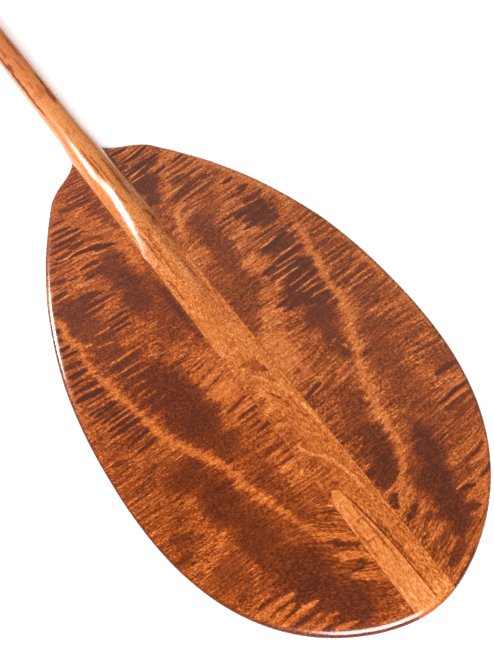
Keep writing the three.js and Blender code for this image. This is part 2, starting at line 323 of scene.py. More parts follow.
def ridge_table():
    """Height of the crest every millimetre from 100 mm above the neck down, smoothed."""
    at = np.arange(-100, 421)
    z = np.interp(at, [-100, -22, -8] + RIDGE_D, [2 * SHAFT_RZ, 2 * SHAFT_RZ, 2 * SHAFT_RZ - 0.1] + RIDGE_Z)
    k = np.exp(-(np.arange(-30, 31) / 11.0) ** 2 / 2)
    k /= k.sum()
    return at, np.convolve(np.pad(z, 30, mode="edge"), k, "valid")


CREST_AT, CREST_Z = ridge_table()


def spine_rings():
    """Closed sections along the stave. Each holds n points under, sides, and n points over, at the same places across."""
    n, ns = 56, 5
    r = EDGE_T / 2
    stations = [("rim", math.radians(deg)) for deg in (10, 20, 30, 40, 50, 60, 70, 80, 90)]
    s = RIM_IN + 1.0
    while s < 531 - 30:
        stations.append(("in", s)); s += 1.6 if s > 12 else 1.0
    while s < 531 + 44:
        stations.append(("in", s)); s += 1.5
    while s < SHOULDER_Y - TIP_Y - 3:
        stations.append(("in", s)); s += 4.0
    stations.append(("in", SHOULDER_Y - TIP_Y))
    th = np.linspace(0, math.pi, n)
    c, u = np.cos(th), np.abs(np.cos(th))
    rings = []
    for kind, value in stations:
        rim = kind == "rim"
        s = RIM_IN * (1 - math.cos(value)) if rim else value
        sb = r * (1 - math.cos(value)) if rim else lerp(r, value, float(smooth((value - RIM_IN) / 14)))
        straight = float(smooth((s - 6) / 70))
        ybar = TIP_Y + s
        rnd = float(smooth((ybar - (NECK_Y - 8)) / 36))
        down = NECK_Y - ybar
        w = lerp(STAVE, SHAFT_RX, rnd)
        x = w * c
        edge = lerp(tip_edge(x), TIP_Y, straight)
        ytop, ybot = edge + s, edge + sb
        if rim:
            z = np.full(n, r + r * math.sin(value))
            zlow = np.full(n, r - r * math.sin(value))
        else:
            yy = np.minimum(ytop, NECK_Y - 3)
            base = blade_top(np.clip(x, -STAVE, STAVE), yy)
            seam = base[0]
            zc = lerp(seam, SHAFT_RZ, rnd)
            top = min(float(np.interp(down, CREST_AT, CREST_Z)), 2 * SHAFT_RZ)
            oval = float(smooth((74 - down) / 36))
            swell = float(smooth((down - 144) / 36))
            narrow = lerp(1.0, 0.86, float(smooth((down - 150) / 100)))
            un = np.clip(u / narrow, 0, 1)
            gable = 1 - u ** float(np.interp(down, [72, 120], [1.6, 1.85]))
            body = oval * np.sin(th) + swell * 0.5 * (1 + np.cos(np.pi * un)) + (1 - oval - swell) * gable
            rise = max(top - zc, 0) if down < 300 else 0.0
            z = lerp(base, SHAFT_RZ, rnd) + rise * body * float(smooth((330 - down) / 60))
            zlow = lerp(0.0, SHAFT_RZ - SHAFT_RZ * np.sin(th), rnd)
        side = [(k + 1) / (ns + 1) for k in range(ns)]
        right = np.array([[x[0], lerp(ybot[0], ytop[0], k), lerp(zlow[0], z[0], k)] for k in side])
        left = np.array([[x[-1], lerp(ytop[-1], ybot[-1], k), lerp(z[-1], zlow[-1], k)] for k in side])
        rings.append(np.vstack([np.column_stack([x, ybot, zlow])[::-1], right, np.column_stack([x, ytop, z]), left]))
    mid = np.column_stack([STAVE * c, tip_edge(STAVE * c), np.full(n, r)])
    return rings, mid, n, ns


def spine_body(name):
    rings, mid, n, ns = spine_rings()
    size = len(rings[0])
    verts = np.vstack(rings + [mid])
    m0 = len(rings) * size
    faces = []
    for k in range(len(rings) - 1):
        for i in range(size):
            a, b = k * size + i, k * size + (i + 1) % size
            faces.append((a, b, b + size, a + size))
    faces.append(tuple(range((len(rings) - 1) * size, len(rings) * size)))
    # bullnose at the tip: under line runs left to right, over line right to left
    under = list(range(n))[::-1]
    over = list(range(n + ns, 2 * n + ns))
    for i in range(n - 1):
        faces.append((under[i], under[i + 1], m0 + i + 1, m0 + i))
        faces.append((m0 + i, m0 + i + 1, over[i + 1], over[i]))
    right = [under[0], *range(n, n + ns), over[0]]
    left = [over[-1], *range(2 * n + ns, 2 * n + 2 * ns), under[-1]]
    for p, q in zip(right, right[1:]):
        faces.append((p, q, m0))
    for p, q in zip(left, left[1:]):
        faces.append((p, q, m0 + n - 1))
    return tidy(make_object(name, verts, faces), 1e-9)


spine = spine_body("shaft_spine_wood")
combine(spine, bores(-1), "DIFFERENCE")
combine(spine, bores(1), "DIFFERENCE")
strip_plan = [(x, NECK_Y + y) for x, y in STRIP]
strip_xy = np.array(strip_plan)
cutter = prism("strip_cut", [tuple(p) for p in strip_xy] + [(-30, NECK_Y - 540), (-30, NECK_Y - 446)], -20, 40)
strip = copy_of(spine, "tip_strip_wood")
combine(strip, cutter, "INTERSECT", drop=False)
combine(spine, cutter, "DIFFERENCE")


# ============================================================ T grip, carved and blended
def grip_outer():
    span = GRIP_SPAN / 2 - 0.15
    prof = [(1.0, 0.02), (0.992, 0.26), (0.975, 0.46), (0.95, 0.62), (0.915, 0.75), (0.87, 0.855), (0.81, 0.925), (0.73, 0.962), (0.6, 0.975), (0.4, 0.98), (0.2, 0.99)]
    stops = [(-q, r) for q, r in prof] + [(0, 1.0)] + [(q, r) for q, r in reversed(prof)]
    n = 48
    rings = []
    for q, r in stops:
        a = 2 * np.pi * np.arange(n) / n
        rings.append(np.column_stack([np.full(n, q * span), TOP_Y - GRIP_RY + (GRIP_RY - 0.1) * r * np.cos(a), GRIP_Z + (GRIP_Z - 0.15) * r * np.sin(a)]))
    bar = ring_body("grip_bar", rings)
    rings = []
    for down, a_, b_ in [(92, 14.75, 12.0), (78, 14.75, 12.0), (68, 14.8, 12.05), (58, 15.4, 12.2), (50, 16.9, 12.4), (44, 19.2, 12.6),
                         (39, 22.4, 12.7), (35, 26.4, 12.6), (31.5, 31.5, 12.2), (28, 37, 11.4), (24, 41.5, 10.3), (19, 43, 9.0)]:
        a = 2 * np.pi * np.arange(n) / n
        zc = lerp(SHAFT_RZ, GRIP_Z, float(smooth((78 - down) / 40)))
        rings.append(np.column_stack([a_ * np.cos(a), np.full(n, TOP_Y - down), zc + b_ * np.sin(a)]))
    collar = ring_body("grip_collar", rings)
    combine(bar, collar, "UNION")
    mod = bar.modifiers.new("blend", "REMESH")
    mod.mode = "VOXEL"
    mod.voxel_size = 0.0011
    mod = bar.modifiers.new("fair", "SMOOTH")
    mod.factor = 0.5
    mod.iterations = 14
    deps = bpy.context.evaluated_depsgraph_get()
    mesh = bpy.data.meshes.new_from_object(bar.evaluated_get(deps))
    bar.modifiers.clear()
    bar.data = mesh
    return bar


outer = grip_outer()
tenon = rod("tenon", "y", TENON_R, SHOULDER_Y - 3, TOP_Y + 4, (0, SHAFT_RZ), 64)
grip = copy_of(outer, "t_grip_wood")
combine(grip, block("cut", -90, 90, SHOULDER_Y - 60, SHOULDER_Y + 0.12, -30, 60), "DIFFERENCE")
combine(grip, rod("mortise", "y", TENON_R + 0.12, SHOULDER_Y - 9, TOP_Y + 9, (0, SHAFT_RZ), 64), "DIFFERENCE")


def wedge_prism(name, x, grow):
    t, f = WEDGE_TOP / 2 + grow, WEDGE_FOOT / 2 + grow
    d = 12.0 if grow > 0 else 7.2
    rings = [np.array([(x - f, TOP_Y - WEDGE_L - grow, SHAFT_RZ - d), (x + f, TOP_Y - WEDGE_L - grow, SHAFT_RZ - d),
                       (x + t, TOP_Y + 2, SHAFT_RZ - d), (x - t, TOP_Y + 2, SHAFT_RZ - d)]),
             np.array([(x - f, TOP_Y - WEDGE_L - grow, SHAFT_RZ + d), (x + f, TOP_Y - WEDGE_L - grow, SHAFT_RZ + d),
                       (x + t, TOP_Y + 2, SHAFT_RZ + d), (x - t, TOP_Y + 2, SHAFT_RZ + d)])]
    return ring_body(name, rings)


wedges = []
for i, sx in enumerate((-1, 1)):
    one = wedge_prism(f"tenon_wedge_wood_{i + 1}", sx * WEDGE_X, 0.0)
    combine(one, copy_of(outer, "tmp"), "INTERSECT")
    wedges.append(one)
    combine(tenon, wedge_prism("slot", sx * WEDGE_X, 0.12), "DIFFERENCE")
top_part = copy_of(outer, "tmp")
combine(tenon, top_part, "INTERSECT")
combine(spine, tenon, "UNION")
bpy.data.objects.remove(outer)

for obj in (wing_left, wing_right, spine, strip, grip, *wedges):
    co = np.empty(len(obj.data.vertices) * 3)
    obj.data.vertices.foreach_get("co", co)
    co = co.reshape(-1, 3)
    np.clip(co, np.array(cad_lo), np.array(cad_hi), out=co)
    obj.data.vertices.foreach_set("co", co.ravel())
    finish_mesh(obj)

print("pieces", {o.name: len(o.data.polygons) for o in (wing_left, wing_right, spine, strip, grip, *wedges)})

# ============================================================ riding and standing for the CAD nodes
for obj, node, slot in ((wing_left, "wing_left", "blade_wood"), (wing_right, "wing_right", "blade_wood"),
                        (spine, "shaft_spine", "shaft_wood"), (strip, "tip_strip", "pale_wood"), (grip, "t_grip", "grip_wood"),
                        (wedges[0], "tenon_wedge_1", "wedge_wood"), (wedges[1], "tenon_wedge_2", "wedge_wood")):
    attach(obj, "root")
    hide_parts(node)


# ============================================================ the wood's figure, with some painted light and shade
# Most strokes are places on the blade where the grain rolls towards the light or away from it; a few, noted at their
# tables, are painted highlight and painted shade.
# All are in millimetres from the neck (x across, y along). A dab is an ellipse, a sweep follows a line. Tone runs from
# 0, dark, to 1, light.
# d TONE X Y RX RY           s TONE WIDTH X Y X Y ...
# In this table the light dab at -112 -128 and the light sweep along the rim from -106 -104 to -126 -172 are partly
# lighter wood and partly a painted rim highlight.
LEFT_FIGURE_AND_PAINTED_LIGHT = """
d .50 -80 -250 120 300
d .44 -40 -30 30 20
d .55 -70 -60 16 16
d .56 -45 -66 22 9
d .58 -42 -84 12 16
d .60 -27 -130 13 32
d .56 -84 -128 26 24
d .60 -112 -128 10 40
d .62 -62 -112 26 5
s .68 9 -106 -104 -113 -125 -120 -150 -126 -172
d .22 -100 -168 22 34
d .24 -92 -205 24 34
d .18 -45 -150 17 36
d .20 -52 -134 16 10
d .17 -46 -186 17 26
d .27 -28 -192 10 34
d .30 -32 -228 16 26
d .46 -70 -180 13 22
d .44 -66 -212 18 12
d .43 -50 -238 10 22
d .45 -40 -256 18 12
d .19 -84 -232 24 16
d .19 -80 -262 26 24
d .18 -62 -290 20 40
d .20 -78 -300 16 28
d .17 -64 -318 20 20
d .58 -34 -282 14 16
d .66 -32 -306 15 11
d .56 -32 -332 15 18
d .24 -58 -342 17 18
d .44 -128 -292 22 60
d .56 -128 -252 14 40
d .42 -122 -330 26 18
d .22 -98 -346 22 15
d .20 -86 -378 20 30
d .24 -80 -420 24 40
d .42 -122 -362 20 14
d .34 -127 -388 14 16
d .33 -112 -432 20 22
d .37 -45 -378 20 30
d .33 -42 -408 20 34
d .42 -27 -425 9 30
d .15 -64 -462 26 28
d .17 -52 -492 26 24
d .50 -98 -470 22 14
d .50 -84 -492 16 8
d .30 -30 -505 12 14
s .42 7 -142 -300 -144 -330 -142 -368 -136 -395 -128 -425 -117 -450
s .28 1.6 -30 -16 -18 -17
s .26 1.7 -33 -20.5 -18 -21.5
s .30 1.5 -36 -24.5 -18 -25.5
s .25 2 -34 -29 -18 -30
s .36 1.6 -52 -33 -38 -35 -28 -34
s .30 1.5 -38 -36.5 -18 -38
s .25 1.6 -37 -41 -18 -42
s .24 1.6 -38 -44.5 -18 -45.5
s .27 1.5 -34 -47.6 -18 -48.6
s .30 2.4 -61 -47 -48 -49.5 -34 -50.5 -18 -52.5
s .34 4.6 -57 -52 -46 -55 -34 -59 -18 -61
s .30 1.5 -34 -55 -18 -56.4
s .30 3.2 -73 -59.5 -65 -60.5 -58 -61
s .62 2.2 -70 -65.5 -58 -66.5 -46 -67
s .18 4.0 -77 -69.3 -68 -70.5 -57 -72.5
s .55 1.6 -78 -73.6 -66 -74 -55 -75.5
s .16 3.6 -80 -76.8 -69 -77.4 -60 -78.5 -51 -81
s .60 1.5 -82 -80.2 -68 -81.5 -52 -83.5
s .16 4.4 -82 -83 -70 -85.3 -60 -86.5 -48 -86
s .30 2 -50 -87 -42 -91
s .20 3.4 -89 -88.6 -78 -90.5 -66 -92
s .66 1.4 -88 -93 -76 -94.5 -68 -95
s .11 7.5 -71 -95 -64 -97 -55 -97.5
s .28 6.5 -56 -95 -47 -99 -38 -104
s .20 3 -88 -97.2 -78 -99 -68 -100
s .74 1.8 -92 -100.3 -80 -102.3 -64 -103.2 -50 -105 -40 -109
s .22 2 -95 -99 -86 -102.6 -76 -105
s .12 4.8 -74 -105.2 -62 -106.5 -52 -109.5 -44 -113.5 -36 -117.5 -29 -120
s .66 2.4 -82 -110 -66 -110.5 -52 -115 -42 -121
s .32 1.5 -98 -108.4 -84 -108.8 -70 -109
s .20 6.5 -100 -105 -91 -108
s .36 2.6 -98 -115.5 -84 -117 -74 -117.5
s .16 6.8 -105 -118.5 -97 -121 -89 -124
s .34 1.5 -84 -113 -72 -113.5 -62 -114.5
s .30 2.5 -90 -126.5 -78 -127.8
s .26 2 -107 -126 -97 -127.3
s .30 1.7 -107 -130.3 -85 -131
s .14 7.6 -110 -134.8 -102 -135.6 -94 -137
s .24 3 -112 -141.5 -100 -143 -90 -143.5
s .62 2.4 -104 -139.5 -88 -139.5 -72 -140
s .20 5.4 -72 -123.5 -63 -124 -54 -125
s .62 1.5 -76 -127.6 -64 -128.8 -52 -129.8
s .24 3 -74 -130.5 -62 -132
s .20 5 -75 -136.4 -66 -136.5 -56 -138
s .58 1.6 -78 -140.5 -66 -141.8 -58 -143
s .20 5.2 -113 -148.8 -98 -149.8 -84 -151.5 -70 -154
s .60 1.8 -96 -145.8 -80 -147 -66 -149
s .56 1.8 -100 -157.5 -84 -158 -66 -160
s .20 5 -112 -155 -96 -155.5 -78 -156 -66 -157.5
s .18 5.2 -110 -161.5 -90 -162 -74 -164.5 -60 -166.5
s .54 1.7 -92 -166.4 -72 -167.5 -56 -168.8
s .18 5 -110 -170 -92 -170.5 -74 -171
s .55 1.8 -88 -174.5 -72 -175.6 -58 -177
s .70 7 -118 -155 -114 -168 -117 -180
s .14 5 -126 -164.5 -118 -166.5
s .16 4 -128 -173.5 -120 -175
s .26 8 -30 -68.5 -18 -69
s .25 9 -32 -77 -18 -78
s .27 12 -27 -87 -18 -88
s .30 8 -22 -98 -18 -108
s .50 1.6 -36 -72.5 -20 -73
s .48 1.5 -34 -82 -20 -83
s .27 2 -33 -64.6 -19 -66
s .13 4.2 -130 -184 -118 -185.2
s .13 4 -132 -191.8 -124 -192.3 -115 -194
s .12 6.8 -136 -202.5 -127 -203.8 -116 -205.5
s .15 5.6 -135 -212.7 -126 -213.8 -116 -214.8
s .18 3.2 -138 -220.4 -124 -221.4
s .18 4.6 -138 -228.4 -126 -229 -113 -230.6
s .11 5.6 -141 -235.2 -130 -237 -120 -239 -110 -241.5
s .28 2.2 -140 -244 -126 -245 -110 -246
s .30 2 -139 -248.6 -124 -249.4 -112 -250
s .20 2.8 -136 -253.2 -122 -253.8 -110 -254.6
s .15 3.8 -132 -257.8 -120 -258 -108 -257.2
s .26 2.3 -138 -261.4 -126 -262 -112 -262
s .20 2.8 -130 -265.6 -118 -265.4 -104 -266
s .18 2.8 -128 -270.6 -116 -270.4 -104 -271.4
s .15 3.4 -132 -275.6 -120 -275.8 -104 -276.6
s .14 3.8 -132 -281 -118 -281.8 -103 -282.4
s .30 2.2 -132 -286.4 -116 -286 -101 -287
s .22 2.2 -124 -290.4 -112 -290 -99 -291
s .17 3.4 -124 -295.6 -112 -295.4 -100 -295
s .34 2.2 -120 -300.2 -104 -300.6
s .22 3 -122 -305.6 -112 -304.6 -100 -303.4
s .30 4 -143 -303 -132 -304
s .30 2 -142 -311 -130 -311
s .34 2.6 -128 -322 -106 -323.5
s .34 3 -138 -317 -124 -316
s .34 2.6 -136 -330 -118 -331
s .68 8 -119 -174 -115 -186 -111 -193 -114 -201 -113 -212 -114 -222
s .70 8 -114 -220 -111 -236 -109 -250 -106 -262 -103 -272 -101 -285 -98 -298
s .72 9.5 -99 -294 -96 -306 -91 -316 -85 -326 -79 -337 -73 -348 -67 -358
s .70 9.5 -68 -355 -66 -368 -62 -381 -58 -392 -55 -403 -51 -415
s .66 7.5 -52 -410 -48 -422 -43 -433 -38 -443 -30 -451
s .60 4.5 -35 -447 -27 -453 -20 -458
s .50 5 -112 -196 -104 -197.5
s .46 4 -112 -206 -103 -207.5
s .54 1.8 -96 -192 -82 -193.6 -66 -196.5
s .50 1.6 -101 -203 -90 -205.8 -84 -207.5
s .56 1.8 -80 -197 -66 -198.5 -54 -200.5
s .55 2 -82 -183 -70 -184.5 -58 -186
s .50 2 -80 -190 -66 -190.5
s .55 2 -80 -203.2 -66 -204.5 -54 -205.8
s .15 3.4 -82 -188 -60 -189
s .16 3 -84 -194.8 -60 -194.6
s .15 3 -88 -200.3 -62 -201.6
s .60 7 -81 -215.5 -72 -217
s .52 2.6 -62 -211 -54 -219
s .58 2.6 -99 -224.8 -86 -225.4 -76 -225.6 -67 -227
s .42 1.2 -97 -232 -84 -233
s .52 2 -103 -236.6 -88 -236.6 -78 -237.4 -67 -239
s .52 1.9 -93 -244.8 -80 -246.2 -69 -247.4
s .52 1.9 -96 -255.2 -86 -255.8 -79 -257.4
s .50 1.8 -97 -265 -88 -264 -80 -263
s .40 1.2 -97 -268.6 -84 -269.4 -74 -270.4
s .34 1.2 -86 -277.6 -70 -279
s .13 7 -100 -230 -72 -231
s .14 6 -100 -241 -72 -242
s .13 7 -100 -251 -60 -252
s .14 6 -98 -261 -70 -260.5
s .15 6 -98 -273.6 -66 -274.4
s .15 6 -94 -283.8 -62 -284.6
s .26 10 -21 -195 -21 -215 -21 -235 -20.5 -254
s .34 1.4 -47 -266 -38 -267.6 -28 -267.4
s .34 1.8 -44 -272 -32 -271
s .32 2 -44 -277.6 -34 -276 -26 -274.4
s .32 2.4 -42 -285.8 -32 -284 -22 -281.4
s .30 1.8 -40 -295 -30 -293.6 -20 -290.6
s .24 3 -40 -323.6 -30 -322.6 -19 -320.6
s .66 2.6 -36 -327.6 -19 -326.6
s .24 3.4 -37 -333.4 -27 -333 -15 -332.6
s .32 2 -38 -338.6 -20 -338.8
s .24 2.4 -36 -344.8 -22 -344
s .24 3.4 -30 -350.4 -20 -350.6 -11 -351.4
s .30 2 -36 -356 -18 -356.4
s .60 1.8 -40 -364.6 -30 -365.2 -18 -364
s .58 1.8 -38 -372 -24 -373.6 -18 -374.4
s .56 2 -34 -380 -18 -380.6
s .55 5 -34 -388.5 -18 -389.6
s .26 2.4 -34 -368.8 -18 -369.4
s .28 2.2 -30 -377.2 -18 -377.8
s .28 2.2 -32 -384.2 -18 -384.6
s .60 6 -112 -364 -100 -366
s .58 5 -108 -372 -104 -380
s .24 5 -138 -395.6 -124 -397
s .22 7 -138 -380 -122 -384
s .68 1.3 -133 -410.5 -130 -406.8 -125 -406 -122.5 -408.5 -125 -411 -126 -413.5 -122 -415 -119.5 -413
s .66 1.3 -133 -419 -127 -417.4 -121 -417
s .60 1.3 -128 -400 -124 -403 -119 -404.5
s .60 1.2 -139 -381 -134 -375.5 -130 -374 -129.5 -369
s .50 9 -96 -412 -94 -430 -96 -444
s .50 2.6 -112 -384 -100 -385
s .50 2.4 -114 -392 -100 -393
s .48 2.2 -116 -400 -98 -401
s .60 4.6 -112 -461.8 -98 -461.2 -80 -463.4
s .26 2 -106 -457 -92 -457.6
s .60 5 -106 -468.5 -96 -470 -82 -469
s .28 2 -100 -465.2 -84 -466
s .62 4 -100 -475.8 -86 -476.4 -68 -477.2
s .24 2.6 -94 -473.2 -80 -473.4
s .20 3 -90 -481.2 -70 -483
s .60 3 -92 -485 -80 -487.4
s .56 3 -78 -484.6 -70 -486.4
s .56 2.6 -84 -490.6 -72 -492.4
s .54 2.4 -72 -489.8 -62 -492.6
s .58 3.2 -72 -500 -60 -502.4 -54 -504.4
s .26 2.6 -80 -496 -64 -497.4
s .26 4 -38 -450 -30 -457 -19 -466.4
s .72 7 -37 -462 -32 -468
s .62 4.6 -32 -466 -24 -472 -18 -478
s .24 3 -30 -474 -22 -478
s .62 6 -38 -479 -30 -484 -22 -489
s .22 2.6 -36 -476 -26 -480
s .52 5 -24 -494 -19 -503
s .42 6 -20.5 -498 -20.5 -524
s .50 2 -26 -514.6 -18 -516
a .09 -32 -300 26 64
a .08 -30 -140 14 34
a -.13 -22 -208 6 50
a .08 -30 -400 18 40
a -.045 -70 -345 90 120
a -.03 -60 -450 80 80
a .07 -30 -398 18 34
s .22 2.6 -20 -46.4 -32 -45.4 -46 -43.4
s .22 2.4 -19 -52.6 -32 -51.4 -40 -50.2
s .60 1.8 -19 -49.6 -34 -48.2 -46 -46.8
s .20 3.2 -26 -57.4 -42 -54.4 -58 -49.6
s .24 2.4 -19 -38.6 -30 -37.6 -42 -36.6
s .24 2.6 -20 -69.4 -30 -67.6 -38 -66.4
s .22 3 -20 -76.6 -28 -75.6 -36 -74
"""

